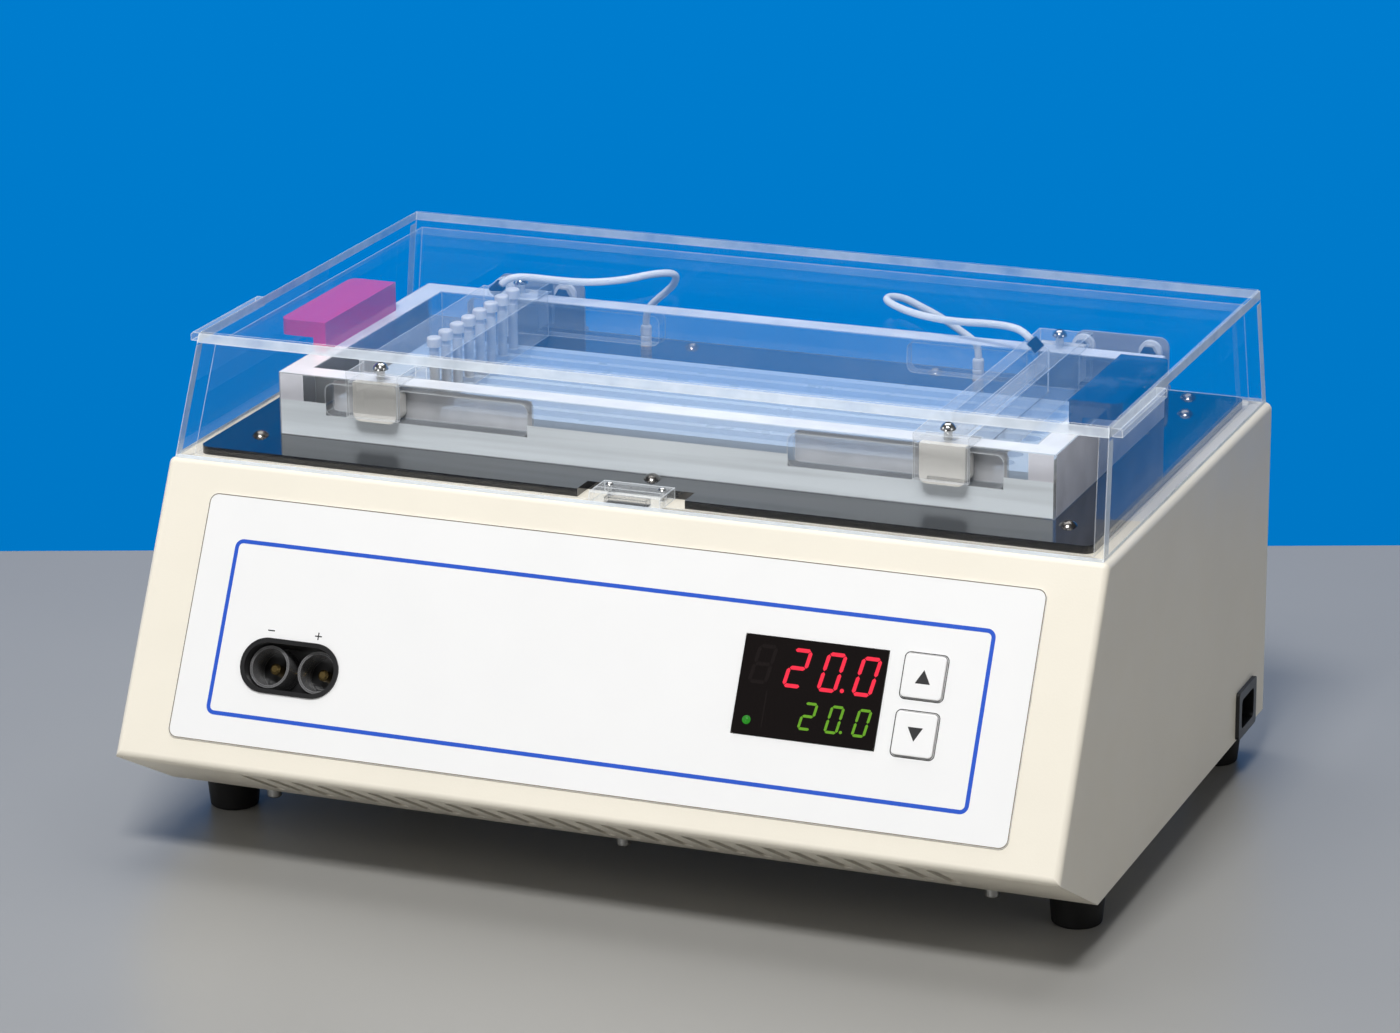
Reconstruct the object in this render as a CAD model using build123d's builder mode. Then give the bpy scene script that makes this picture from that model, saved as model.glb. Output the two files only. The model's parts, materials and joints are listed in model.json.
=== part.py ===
from build123d import *
import os
from math import atan2, cos, degrees, hypot, pi, radians, sin, sqrt, tan

os.makedirs("parts", exist_ok=True)

# Isoelectric focusing unit: a Peltier-cooled bench box with a clear focusing tray under a hinged
# clear lid. Millimetres. +X is right, -Y is the front, +Z is up. The origin is on the bench,
# under the middle of the whole unit.

# Driving sizes of the body
BODY_WIDTH = 357.0
TOP_DEPTH = 206.5
BODY_HEIGHT = 122.0
FRONT_DROP = 98.0
FRONT_REACH = 51.0
UNDERCUT = 45.0
SHEET = 2.0
FOLD_RADIUS = 2.5
FOOT_HEIGHT = 16.0
FRONT_TOP_Y = -80.0
FIT_GAP = 0.25
SOFT_GAP = 0.3

# Driving sizes of the front panel, measured down the slope from its top edge
OVERLAY_INSET = 19.75
OVERLAY_TOP = 11.0
OVERLAY_LENGTH = 90.0
OVERLAY_THICK = 0.5
OVERLAY_CORNER = 3.5
WINDOW_INSET = 98.5
WINDOW_DOWN = 55.9
WINDOW_WIDTH = 52.3
WINDOW_LENGTH = 34.8
WINDOW_PROUD = 0.5
WINDOW_THICK = 3.0
WINDOW_CORNER = 1.0
DISPLAY_MARGIN = 2.0
KEY_OFFSET = 40.0
KEY_UP_DOWN = 46.0
KEY_PITCH = 20.1
KEY_WIDTH = 14.7
KEY_LENGTH = 15.2
KEY_PROUD = 1.1
KEY_DEPTH = 3.2
KEY_CORNER = 1.5
KEY_EDGE = 0.4
KEY_TRAVEL = 0.4
KEY_SWITCH_SIDE = 6.0
BOARD_DEPTH = 9.0
BOARD_THICK = 1.6
BOARD_WIDTH = 90.0
BOARD_LENGTH = 50.0
BOARD_SHIFT = 10.5
POST_DIAMETER = 5.0
SOCKET_INSET = 62.8
SOCKET_DOWN = 71.0
SOCKET_PITCH = 19.0
SOCKET_WIDTH = 38.5
SOCKET_LENGTH = 20.0
SOCKET_LIP = 1.0
SOCKET_LIP_PROUD = 0.6
SOCKET_WALL = 0.7
SOCKET_DEPTH = 16.0
SOCKET_FLOOR = 2.0
SHROUD_DIAMETER = 15.4
SHROUD_WALL = 1.0
SHROUD_INSET = 3.0
PIN_DIAMETER = 4.0
PIN_INSET = 7.5
PIN_TAIL = 6.0
PIN_CHAMFER = 0.8

# Driving sizes of the deck and the cooling stack under it
DECK_SIDE_GAP = 1.2
DECK_SETBACK = 7.8
DECK_BACK_GAP = 2.0
DECK_THICK = 3.0
DECK_CORNER = 4.0
NOTCH_WIDTH = 41.0
NOTCH_DEPTH = 9.7
COOL_END_INSET = 14.0
COOL_SIDE_INSET = 11.5
COOL_THICK = 8.0
COOL_CORNER = 2.0
COOL_GAP = 1.0
FOAM_MARGIN = 12.0
PELTIER_SIDE = 40.0
PELTIER_THICK = 4.0
PELTIER_PITCH = 62.0
PELTIER_COUNT = 4
SINK_END_MARGIN = 5.0
SINK_SIDE_MARGIN = 10.0
SINK_BASE = 8.0
FIN_HEIGHT = 32.0
FIN_THICK = 2.0
FIN_PITCH = 11.5
FIN_EDGE = 5.0
DECK_SCREW_HEAD = 6.5
DECK_SCREW_DOME = 1.9
DECK_SCREW_SHANK = 3.0
DECK_SCREW_LENGTH = 8.0
DECK_SCREW_SIDE_INSET = 15.0
DECK_SCREW_BACK_INSET = 20.0
DECK_SCREW_INNER_X = 50.0
DECK_SCREW_FRONT_SETBACK = 28.0
DECK_SCREW_SIDE_FROM_BACK = 27.5
DECK_SCREW_BACK_EDGE = 6.5
DECK_SOCKET_INSET = 40.75
DECK_SOCKET_SETBACK = 190.0
DECK_SOCKET_DIAMETER = 8.0
DECK_SOCKET_LENGTH = 16.0

# Driving sizes of the tray and what stands in it
HANDLE_LID_GAP = 5.2
TRAY_DEPTH = 133.0
TRAY_SETBACK = 32.0
TRAY_HEIGHT = 23.5
TRAY_WALL = 10.0
TRAY_FLOOR = 4.0
TRAY_CORNER = 1.0
POCKET_END = 19.0
POCKET_LENGTH = 80.0
POCKET_BOTTOM = 9.0
POCKET_HEIGHT = 12.0
POCKET_DEPTH = 6.0
POCKET_CORNER = 3.0
HOLDER_END_GAP = 3.0
HOLDER_THICK = 5.0
HOLDER_CORNER = 1.0
CHANNEL_COUNT = 8
CHANNEL_PITCH = 10.3
CHANNEL_WIDTH = 7.0
CHANNEL_DEPTH = 2.5
CHANNEL_END = 12.0
HANDLE_LENGTH = 62.0
HANDLE_PLATE = 6.0
HANDLE_LEG = 5.0
HANDLE_OVERHANG = 13.5
HANDLE_RISE = 11.2
HANDLE_CORNER = 3.5
HANDLE_SETBACK = 62.0

# Driving sizes of the two electrode bars
BAR_INSET = 40.25
SADDLE_WIDTH = 20.5
LEFT_BAR_WIDTH = 27.0
RIGHT_BAR_WIDTH = 20.5
BAR_TOP_PLATE = 4.0
BAR_LIFT = 0.4
SKIRT_THICK = 2.0
SKIRT_DROP = 17.0
SLIDER_WIDTH = 17.0
SLIDER_PLATE = 3.4
SLIDER_DROP = 10.4
TONGUE_DEPTH = 5.5
TONGUE_CORNER = 3.0
GROOVE_WIDTH = 6.0
GROOVE_DEPTH = 7.0
GROOVE_END = 8.0
GROOVE_SHIFT = -2.0
BEAM_SHIFT = 1.25
BAR_FLOOR_GAP = 1.2
POST_ROD_DIAMETER = 3.6
POST_CAP_DIAMETER = 5.4
POST_CAP_HEIGHT = 3.6
POST_RISE = 5.8
POST_INSET = 8.75
WIRE_DIAMETER = 0.6
CLAMP_HEAD = 5.8
CLAMP_HEAD_HEIGHT = 2.6
CLAMP_SHANK = 3.0
CLAMP_RUNNING_GAP = 0.05
CLAMP_HEX = 2.0
CLAMP_HEX_DEPTH = 1.3
CLAMP_SETBACK = 2.6
FERRULE_DIAMETER = 4.6
FERRULE_LENGTH = 4.6
FERRULE_TILT = 45.0
FERRULE_SUNK = 1.0
LEFT_FERRULE_SHIFT = 6.0
LEFT_FERRULE_SETBACK = 150.0
RIGHT_FERRULE_SHIFT = 2.5
RIGHT_FERRULE_SETBACK = 146.0
RISER_SETBACK = 5.5
RISER_HEIGHT = 16.0
WIRE_END = 5.0
LEAD_DIAMETER = 2.8
LEAD_START = 3.9
LEAD_ARC_SHARE = 0.45
PLUG_DIAMETER = 4.4
PLUG_HEIGHT = 8.0
PLUG_PIN = 2.5
PLUG_PIN_LENGTH = 9.0

# Driving sizes of the lid and its hinges
LID_SIDE_INSET = 2.3
LID_SIDE_TAPER = 3.5
LID_HEIGHT = 43.5
LID_SETBACK = 1.0
LID_TOP_SETBACK = 16.5
LID_WALL = 5.0
LID_CHAMFER = 0.5
GRIP_LENGTH = 53.0
GRIP_SETBACK = 18.0
GRIP_REACH = 4.2
GRIP_HEIGHT = 3.2
GRIP_DROP = 0.8
GRIP_EDGE = 0.8
BLOCK_WIDTH = 27.0
BLOCK_SETBACK = 1.8
BLOCK_DEPTH = 14.5
BLOCK_HEIGHT = 4.5
MAGNET_WIDTH = 16.0
MAGNET_DEPTH = 4.0
MAGNET_HEIGHT = 2.6
MAGNET_INSET = 0.8
BLOCK_SCREW_X = 10.0
BLOCK_SCREW_HEAD = 3.4
BLOCK_SCREW_DOME = 0.9
BLOCK_SCREW_SHANK = 1.6
HINGE_INSET = 56.7
HINGE_WIDTH = 37.0
LEAF_THICK = 1.2
LEAF_HEIGHT = 21.0
LEAF_CORNER = 4.0
KNUCKLE_DIAMETER = 4.4
KNUCKLE_COUNT = 5
KNUCKLE_GAP = 0.2
HINGE_PIN_DIAMETER = 2.2
PIN_RUNNING_GAP = 0.05
LEAF_SCREW_X = 13.15
LEAF_SCREW_UP = 17.0
LEAF_SCREW_HEAD = 5.6
LEAF_SCREW_DOME = 1.6
LEAF_SCREW_SHANK = 3.0
NUT_WIDTH = 5.5
NUT_THICK = 2.4
NUT_WASHER = 2.0

# Driving sizes of the underside, the rear and the parts inside
LOUVRE_COUNT = 27
LOUVRE_PITCH = 10.0
LOUVRE_WIDTH = 4.0
LOUVRE_LENGTH = 34.0
FOOT_INSET = 14.0
FOOT_FRONT_SETBACK = 15.5
FOOT_BACK_EDGE = 17.5
FOOT_TOP_DIAMETER = 21.0
FOOT_BOTTOM_DIAMETER = 18.0
FOOT_RECESS_DIAMETER = 9.0
FOOT_RECESS_DEPTH = 8.0
FOOT_EDGE = 1.0
SCREW_HEAD = 5.4
SCREW_HEAD_HEIGHT = 3.0
SCREW_WASHER = 6.4
SCREW_WASHER_THICK = 0.8
SCREW_SHANK = 3.0
SCREW_LENGTH = 7.0
SCREW_SLOT_WIDTH = 1.0
SCREW_SLOT_DEPTH = 1.2
REAR_SCREW_LENGTH = 8.0
EDGE_SCREW_INSET = 39.5
EDGE_SCREW_SETBACK = 4.0
PANEL_LIP = 12.0
PANEL_SCREW_INSET = 98.5
PANEL_SCREW_UP = 7.0
FAN_SIZE = 80.0
FAN_THICK = 25.0
FAN_BORE = 76.0
FAN_CORNER = 3.0
FAN_HUB_EDGE = 1.5
FAN_ROOT = 1.0
FAN_HUB = 34.0
FAN_SHAFT = 3.0
FAN_BLADES = 7
FAN_BLADE_THICK = 2.0
FAN_BLADE_GAP = 2.0
FAN_BLADE_PITCH = 38.0
FAN_DROP = 62.0
FAN_SCREW_PITCH = 71.5
FAN_STRUT = 4.0
FAN_BASE = 4.0
GUARD_WIRE = 2.0
GUARD_RINGS = 4
GUARD_RING_STEP = 9.0
GUARD_ARM = 3.0
GUARD_HUB = 10.0
GUARD_THICK = 1.2
SWITCH_INSET = 53.5
SWITCH_DROP = 88.0
SWITCH_WIDTH = 15.0
SWITCH_HEIGHT = 21.0
SWITCH_FLANGE = 1.6
SWITCH_CORNER = 1.0
SWITCH_BODY_MARGIN = 1.0
SWITCH_WALL = 1.4
SWITCH_DEPTH = 16.0
ROCKER_TILT = 8.0
ROCKER_WELL = 9.0
ROCKER_PIVOT = 2.5
ROCKER_SIDE_GAP = 1.0
ROCKER_EDGE = 4.6
ROCKER_MIDDLE = 3.2
ROCKER_BACK = 3.5
INLET_BACK_EDGE = 27.3
INLET_DROP = 112.2
INLET_WIDTH = 23.5
INLET_HEIGHT = 18.6
INLET_FLANGE = 1.5
INLET_CORNER = 1.5
INLET_CAVITY_CORNER = 2.0
INLET_DEPTH = 22.0
INLET_MARGIN = 4.0
INLET_WALL = 3.0
INLET_CAVITY = 14.0
INLET_BLADE_PITCH = 4.6
INLET_BLADE_THICK = 1.2
INLET_BLADE_HEIGHT = 4.0
INLET_BLADE_INSET = 6.0
SUPPLY_SIDE_GAP = 16.5
SUPPLY_WIDTH = 84.0
SUPPLY_DEPTH = 125.0
SUPPLY_HEIGHT = 36.0
SUPPLY_SETBACK = 12.0
SUPPLY_VENTS = 9
SUPPLY_VENT_PITCH = 9.0
SUPPLY_VENT_WIDTH = 4.0
CONTROL_SIDE_GAP = 16.5
CONTROL_WIDTH = 120.0
CONTROL_DEPTH = 90.0
CONTROL_SETBACK = 25.0
CONTROL_STAND = 6.0
CONTROL_PARTS = 18.0
REED_WIDTH = 14.0
REED_DEPTH = 6.0
REED_THICK = 3.0

# Widths and setbacks that follow from the sizes above
INNER_X = BODY_WIDTH / 2 - SHEET
LID_WIDTH = BODY_WIDTH - 2 * LID_SIDE_INSET
LID_TOP_WIDTH = LID_WIDTH - 2 * LID_SIDE_TAPER
OVERLAY_WIDTH = BODY_WIDTH - 2 * OVERLAY_INSET
WINDOW_X = BODY_WIDTH / 2 - WINDOW_INSET
KEY_X = WINDOW_X + KEY_OFFSET
BOARD_X = WINDOW_X + BOARD_SHIFT
SOCKET_X = SOCKET_INSET - BODY_WIDTH / 2
DECK_WIDTH = LID_WIDTH - 2 * (LID_WALL + DECK_SIDE_GAP)
DECK_DEPTH = TOP_DEPTH - LID_WALL - DECK_BACK_GAP - DECK_SETBACK
DECK_SCREW_SIDE_X = DECK_WIDTH / 2 - DECK_SCREW_SIDE_INSET
DECK_SCREW_BACK_X = DECK_WIDTH / 2 - DECK_SCREW_BACK_INSET
DECK_SCREW_SIDE_SETBACK = DECK_SETBACK + DECK_DEPTH - DECK_SCREW_SIDE_FROM_BACK
DECK_SCREW_BACK_SETBACK = DECK_SETBACK + DECK_DEPTH - DECK_SCREW_BACK_EDGE
TRAY_WIDTH = LID_TOP_WIDTH - 2 * (LID_WALL + HANDLE_LID_GAP + HANDLE_OVERHANG)
POCKET_OUTER_X = TRAY_WIDTH / 2 - POCKET_END
POCKET_INNER_X = POCKET_OUTER_X - POCKET_LENGTH
HOLDER_WIDTH = TRAY_WIDTH - 2 * (TRAY_WALL + HOLDER_END_GAP)
BAR_X = TRAY_WIDTH / 2 - BAR_INSET
DECK_SOCKET_X = BAR_X - DECK_SOCKET_INSET
COOL_WIDTH = TRAY_WIDTH - 2 * COOL_END_INSET
COOL_DEPTH = TRAY_DEPTH - 2 * COOL_SIDE_INSET
SINK_WIDTH = COOL_WIDTH + 2 * SINK_END_MARGIN
SINK_DEPTH = COOL_DEPTH + 2 * SINK_SIDE_MARGIN
FIN_COUNT = int((SINK_WIDTH - FIN_THICK - 2 * FIN_EDGE) / FIN_PITCH) + 1
HINGE_X = LID_WIDTH / 2 - HINGE_INSET
FOOT_X = BODY_WIDTH / 2 - FOOT_INSET
FOOT_REAR_SETBACK = TOP_DEPTH - FOOT_BACK_EDGE
EDGE_SCREW_X = BODY_WIDTH / 2 - EDGE_SCREW_INSET
PANEL_SCREW_X = BODY_WIDTH / 2 - PANEL_SCREW_INSET
SWITCH_X = BODY_WIDTH / 2 - SWITCH_INSET
INLET_SETBACK = TOP_DEPTH - INLET_BACK_EDGE
SUPPLY_X = INNER_X - SUPPLY_SIDE_GAP - SUPPLY_WIDTH / 2
CONTROL_X = CONTROL_SIDE_GAP + CONTROL_WIDTH / 2 - INNER_X

# Levels and planes that follow from the sizes above
RIM_Z = FOOT_HEIGHT + BODY_HEIGHT
BACK_Y = FRONT_TOP_Y + TOP_DEPTH
NOSE_Y = FRONT_TOP_Y - FRONT_REACH
NOSE_Z = RIM_Z - FRONT_DROP
UNDER_Y = NOSE_Y + UNDERCUT
FRONT_TILT = atan2(FRONT_REACH, FRONT_DROP)
UNDER_TILT = atan2(NOSE_Z - FOOT_HEIGHT, UNDERCUT)
UNDER_SLOPE = hypot(UNDERCUT, NOSE_Z - FOOT_HEIGHT)
DECK_Z = RIM_Z + DECK_THICK
TRAY_TOP_Z = DECK_Z + TRAY_HEIGHT
TRAY_FRONT_Y = FRONT_TOP_Y + TRAY_SETBACK
TRAY_BACK_Y = TRAY_FRONT_Y + TRAY_DEPTH
TRAY_Y = (TRAY_FRONT_Y + TRAY_BACK_Y) / 2
HOLDER_TOP_Z = DECK_Z + TRAY_FLOOR + HOLDER_THICK
BAR_UNDER_Z = TRAY_TOP_Z + BAR_LIFT
BAR_TOP_Z = BAR_UNDER_Z + BAR_TOP_PLATE
BAR_BOTTOM_Z = HOLDER_TOP_Z + BAR_FLOOR_GAP
SKIRT_OUT = SKIRT_THICK + SLIDER_PLATE + SOFT_GAP
PLATE_EDGE_DEPTH = SHEET + 2 * FIT_GAP
SOCKET_BODY_WIDTH = SOCKET_WIDTH - 2 * SOCKET_LIP
SOCKET_BODY_LENGTH = SOCKET_LENGTH - 2 * SOCKET_LIP
INLET_BODY_WIDTH = INLET_WIDTH - INLET_MARGIN
INLET_BODY_HEIGHT = INLET_HEIGHT - INLET_MARGIN
SWITCH_BODY_WIDTH = SWITCH_WIDTH - SWITCH_BODY_MARGIN
SWITCH_BODY_HEIGHT = SWITCH_HEIGHT - SWITCH_BODY_MARGIN
BODY_FRONT_PLANE = Plane(
    origin=(0, FRONT_TOP_Y, RIM_Z), x_dir=(1, 0, 0), z_dir=(0, -cos(FRONT_TILT), sin(FRONT_TILT))
)
UNDER_PLANE = Plane(
    origin=(0, NOSE_Y, NOSE_Z), x_dir=(1, 0, 0), z_dir=(0, -sin(UNDER_TILT), -cos(UNDER_TILT))
)
FAN_Z = RIM_Z - FAN_DROP
HINGE_Y = BACK_Y + KNUCKLE_DIAMETER / 2 + 0.1


def front_y(z, depth=0.0):
    """Y of a plane parallel to the sloping front, depth behind its outer face, at height z."""
    return FRONT_TOP_Y - (RIM_Z - z) * tan(FRONT_TILT) + depth / cos(FRONT_TILT)


def finish(part, name):
    """Name a finished piece, write its file and print its size."""
    part.label = name
    export_step(part, f"parts/{name}.step")
    print(f"{name:20s} volume {part.volume:12.1f}  solids {len(part.solids())}")


def dome_screw(head, dome, shank, length):
    """A screw with a domed head, its head's underside at z 0 and its shank below."""
    dome_radius = ((head / 2) ** 2 + dome ** 2) / (2 * dome)
    mid_height = dome - dome_radius + sqrt(dome_radius ** 2 - (head / 4) ** 2)
    with BuildPart() as screw:
        with BuildSketch(Plane.XZ):
            with BuildLine():
                ThreePointArc((0, dome), (head / 4, mid_height), (head / 2, 0))
                Polyline(
                    (head / 2, 0), (shank / 2, 0), (shank / 2, -length), (0, -length), (0, dome)
                )
            make_face()
        revolve(axis=Axis.Z)
    return screw.part


def washer_screw(length):
    """A pan-head screw with its captive washer, the washer's seat at z 0 and the head below."""
    with BuildPart() as screw:
        with Locations((0, 0, -SCREW_WASHER_THICK / 2)):
            Cylinder(SCREW_WASHER / 2, SCREW_WASHER_THICK)
        with Locations((0, 0, -SCREW_WASHER_THICK - SCREW_HEAD_HEIGHT / 2)):
            Cylinder(SCREW_HEAD / 2, SCREW_HEAD_HEIGHT)
        fillet(screw.edges().sort_by(Axis.Z)[0], radius=SCREW_HEAD_HEIGHT / 4)
        with Locations((0, 0, -SCREW_WASHER_THICK - SCREW_HEAD_HEIGHT)):
            Box(
                SCREW_HEAD, SCREW_SLOT_WIDTH, SCREW_SLOT_DEPTH,
                align=(Align.CENTER, Align.CENTER, Align.MIN), mode=Mode.SUBTRACT,
            )
        with Locations((0, 0, length / 2)):
            Cylinder(SCREW_SHANK / 2, length)
    return screw.part


# Painted sheet casing: front, top rim and both sides
COOL_OPENING_WIDTH = COOL_WIDTH + 2 * COOL_GAP
COOL_OPENING_DEPTH = COOL_DEPTH + 2 * COOL_GAP
LEFT_PLUG = (-DECK_SOCKET_X, FRONT_TOP_Y + DECK_SOCKET_SETBACK)
RIGHT_PLUG = (DECK_SOCKET_X, FRONT_TOP_Y + DECK_SOCKET_SETBACK)
DECK_SCREW_FRONT_Y = FRONT_TOP_Y + DECK_SCREW_FRONT_SETBACK
DECK_SCREW_SIDE_Y = FRONT_TOP_Y + DECK_SCREW_SIDE_SETBACK
DECK_SCREW_BACK_Y = FRONT_TOP_Y + DECK_SCREW_BACK_SETBACK
DECK_SCREW_SPOTS = [(0.0, DECK_SCREW_FRONT_Y)]
for side in (-1, 1):
    DECK_SCREW_SPOTS.append((side * DECK_SCREW_SIDE_X, DECK_SCREW_FRONT_Y))
    DECK_SCREW_SPOTS.append((side * DECK_SCREW_SIDE_X, DECK_SCREW_SIDE_Y))
    DECK_SCREW_SPOTS.append((side * DECK_SCREW_BACK_X, DECK_SCREW_BACK_Y))
    DECK_SCREW_SPOTS.append((side * DECK_SCREW_INNER_X, DECK_SCREW_BACK_Y))
with BuildPart() as casing:
    with BuildSketch(Plane.YZ.offset(-BODY_WIDTH / 2)):
        with BuildLine():
            Polyline(
                (FRONT_TOP_Y, RIM_Z), (BACK_Y, RIM_Z), (BACK_Y, FOOT_HEIGHT),
                (UNDER_Y, FOOT_HEIGHT), (NOSE_Y, NOSE_Z), close=True,
            )
        make_face()
    extrude(amount=BODY_WIDTH)
    top_edges = casing.faces().sort_by(Axis.Z)[-1].edges().filter_by(
        lambda edge: abs(edge.center().Y - BACK_Y) > 1.0
    )
    nose_edges = casing.edges().filter_by(Axis.X).filter_by(
        lambda edge: abs(edge.center().Y - NOSE_Y) < 0.01
    )
    slope_edges = casing.edges().filter_by(
        lambda edge: abs(edge.length - hypot(FRONT_DROP, FRONT_REACH)) < 0.01
    )
    fillet(top_edges + nose_edges + slope_edges, radius=FOLD_RADIUS)
    with BuildSketch(Plane.YZ.offset(-INNER_X)):
        with BuildLine():
            Polyline(
                (front_y(RIM_Z - SHEET, SHEET), RIM_Z - SHEET), (BACK_Y + SHEET, RIM_Z - SHEET),
                (BACK_Y + SHEET, FOOT_HEIGHT - SHEET),
                (front_y(FOOT_HEIGHT - SHEET, SHEET), FOOT_HEIGHT - SHEET), close=True,
            )
        make_face()
    extrude(amount=2 * INNER_X, mode=Mode.SUBTRACT)
    with BuildSketch(Plane.XY.offset(RIM_Z)):
        with Locations((0, TRAY_Y)):
            RectangleRounded(COOL_OPENING_WIDTH, COOL_OPENING_DEPTH, COOL_CORNER + COOL_GAP)
        with Locations(LEFT_PLUG, RIGHT_PLUG):
            Circle(DECK_SOCKET_DIAMETER / 2 + FIT_GAP)
        with Locations(*DECK_SCREW_SPOTS):
            Circle(DECK_SCREW_SHANK / 2)
    extrude(amount=-SHEET, mode=Mode.SUBTRACT)
    with BuildSketch(BODY_FRONT_PLANE):
        with Locations((WINDOW_X, -WINDOW_DOWN)):
            Rectangle(WINDOW_WIDTH + 2 * FIT_GAP, WINDOW_LENGTH + 2 * FIT_GAP)
        with Locations((KEY_X, -KEY_UP_DOWN), (KEY_X, -KEY_UP_DOWN - KEY_PITCH)):
            RectangleRounded(KEY_WIDTH + 2 * FIT_GAP, KEY_LENGTH + 2 * FIT_GAP, KEY_CORNER + FIT_GAP)
        with Locations((SOCKET_X, -SOCKET_DOWN)):
            SlotOverall(SOCKET_BODY_WIDTH + 2 * FIT_GAP, SOCKET_BODY_LENGTH + 2 * FIT_GAP)
    extrude(amount=-2 * SHEET, mode=Mode.SUBTRACT)
    with BuildSketch(Plane.YZ.offset(BODY_WIDTH / 2)):
        with Locations((FRONT_TOP_Y + INLET_SETBACK, RIM_Z - INLET_DROP)):
            Rectangle(INLET_BODY_WIDTH + 2 * FIT_GAP, INLET_BODY_HEIGHT + 2 * FIT_GAP)
    extrude(amount=-SHEET, mode=Mode.SUBTRACT)
finish(casing.part, "casing")

# Bottom plate: flat floor with a sloping louvred front and a turned-up rear lip
EDGE_SCREW_SPOTS = (-EDGE_SCREW_X, 0.0, EDGE_SCREW_X)
PANEL_SCREW_Z = FOOT_HEIGHT + PANEL_SCREW_UP
FOOT_SPOTS = [
    (side * FOOT_X, FRONT_TOP_Y + setback)
    for side in (-1, 1)
    for setback in (FOOT_FRONT_SETBACK, FOOT_REAR_SETBACK)
]
EDGE_SCREW_Y = UNDER_Y + EDGE_SCREW_SETBACK
PLATE_FRONT_Y = front_y(NOSE_Z, PLATE_EDGE_DEPTH)
PLATE_FRONT_Z = NOSE_Z - (PLATE_FRONT_Y - NOSE_Y) * tan(UNDER_TILT)
PLATE_BACK_Y = BACK_Y - SHEET - FIT_GAP
with BuildPart() as bottom_plate:
    with BuildSketch(Plane.YZ.offset(-INNER_X + FIT_GAP)):
        with BuildLine():
            Polyline(
                (PLATE_FRONT_Y, PLATE_FRONT_Z), (UNDER_Y, FOOT_HEIGHT), (PLATE_BACK_Y, FOOT_HEIGHT),
                (PLATE_BACK_Y, FOOT_HEIGHT + PANEL_LIP), (PLATE_BACK_Y - SHEET, FOOT_HEIGHT + PANEL_LIP),
                (PLATE_BACK_Y - SHEET, FOOT_HEIGHT + SHEET),
                (UNDER_Y + SHEET * tan(UNDER_TILT / 2), FOOT_HEIGHT + SHEET),
                (PLATE_FRONT_Y, PLATE_FRONT_Z + SHEET / cos(UNDER_TILT)), close=True,
            )
        make_face()
    extrude(amount=2 * (INNER_X - FIT_GAP))
    with BuildSketch(UNDER_PLANE):
        with Locations((0, -UNDER_SLOPE / 2)):
            with GridLocations(LOUVRE_PITCH, 1.0, LOUVRE_COUNT, 1):
                SlotOverall(LOUVRE_LENGTH, LOUVRE_WIDTH, rotation=90)
    extrude(amount=-1.5 * SHEET, mode=Mode.SUBTRACT)
    with BuildSketch(Plane.XY.offset(FOOT_HEIGHT)):
        with Locations(*FOOT_SPOTS):
            Circle(SCREW_SHANK / 2 + FIT_GAP)
        with Locations(*[(x, EDGE_SCREW_Y) for x in EDGE_SCREW_SPOTS]):
            Circle(SCREW_SHANK / 2 + FIT_GAP)
    extrude(amount=SHEET, mode=Mode.SUBTRACT)
    with BuildSketch(Plane.XZ.offset(-BACK_Y)):
        with Locations((-PANEL_SCREW_X, PANEL_SCREW_Z), (PANEL_SCREW_X, PANEL_SCREW_Z)):
            Circle(SCREW_SHANK / 2 + FIT_GAP)
    extrude(amount=3 * SHEET, mode=Mode.SUBTRACT)
finish(bottom_plate.part, "bottom_plate")

# Rear panel with the fan opening and the switch opening
REAR_PLANE = Plane(origin=(0, BACK_Y, 0), x_dir=(-1, 0, 0), z_dir=(0, 1, 0))
LEAF_SCREW_ROWS = [
    side * HINGE_X + spot for side in (-1, 1) for spot in (-LEAF_SCREW_X, LEAF_SCREW_X)
]
FAN_SCREW_SPOTS = [
    (x, FAN_Z + z)
    for x in (-FAN_SCREW_PITCH / 2, FAN_SCREW_PITCH / 2)
    for z in (-FAN_SCREW_PITCH / 2, FAN_SCREW_PITCH / 2)
]
LEAF_SCREW_SPOTS = [(x, RIM_Z - LEAF_SCREW_UP) for x in LEAF_SCREW_ROWS]
PANEL_SCREW_SPOTS = [(-PANEL_SCREW_X, PANEL_SCREW_Z), (PANEL_SCREW_X, PANEL_SCREW_Z)]
with BuildPart() as rear_panel:
    with BuildSketch(REAR_PLANE):
        with Locations((0, (RIM_Z - SHEET + FOOT_HEIGHT) / 2)):
            Rectangle(2 * (INNER_X - FIT_GAP), BODY_HEIGHT - SHEET - 2 * FIT_GAP)
        with Locations((0, FAN_Z)):
            Circle(FAN_BORE / 2, mode=Mode.SUBTRACT)
        with Locations(*[(-x, z) for x, z in FAN_SCREW_SPOTS + LEAF_SCREW_SPOTS + PANEL_SCREW_SPOTS]):
            Circle(SCREW_SHANK / 2 + FIT_GAP, mode=Mode.SUBTRACT)
        with Locations((-SWITCH_X, RIM_Z - SWITCH_DROP)):
            Rectangle(SWITCH_BODY_WIDTH, SWITCH_BODY_HEIGHT, mode=Mode.SUBTRACT)
    extrude(amount=-SHEET)
finish(rear_panel.part, "rear_panel")

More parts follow.
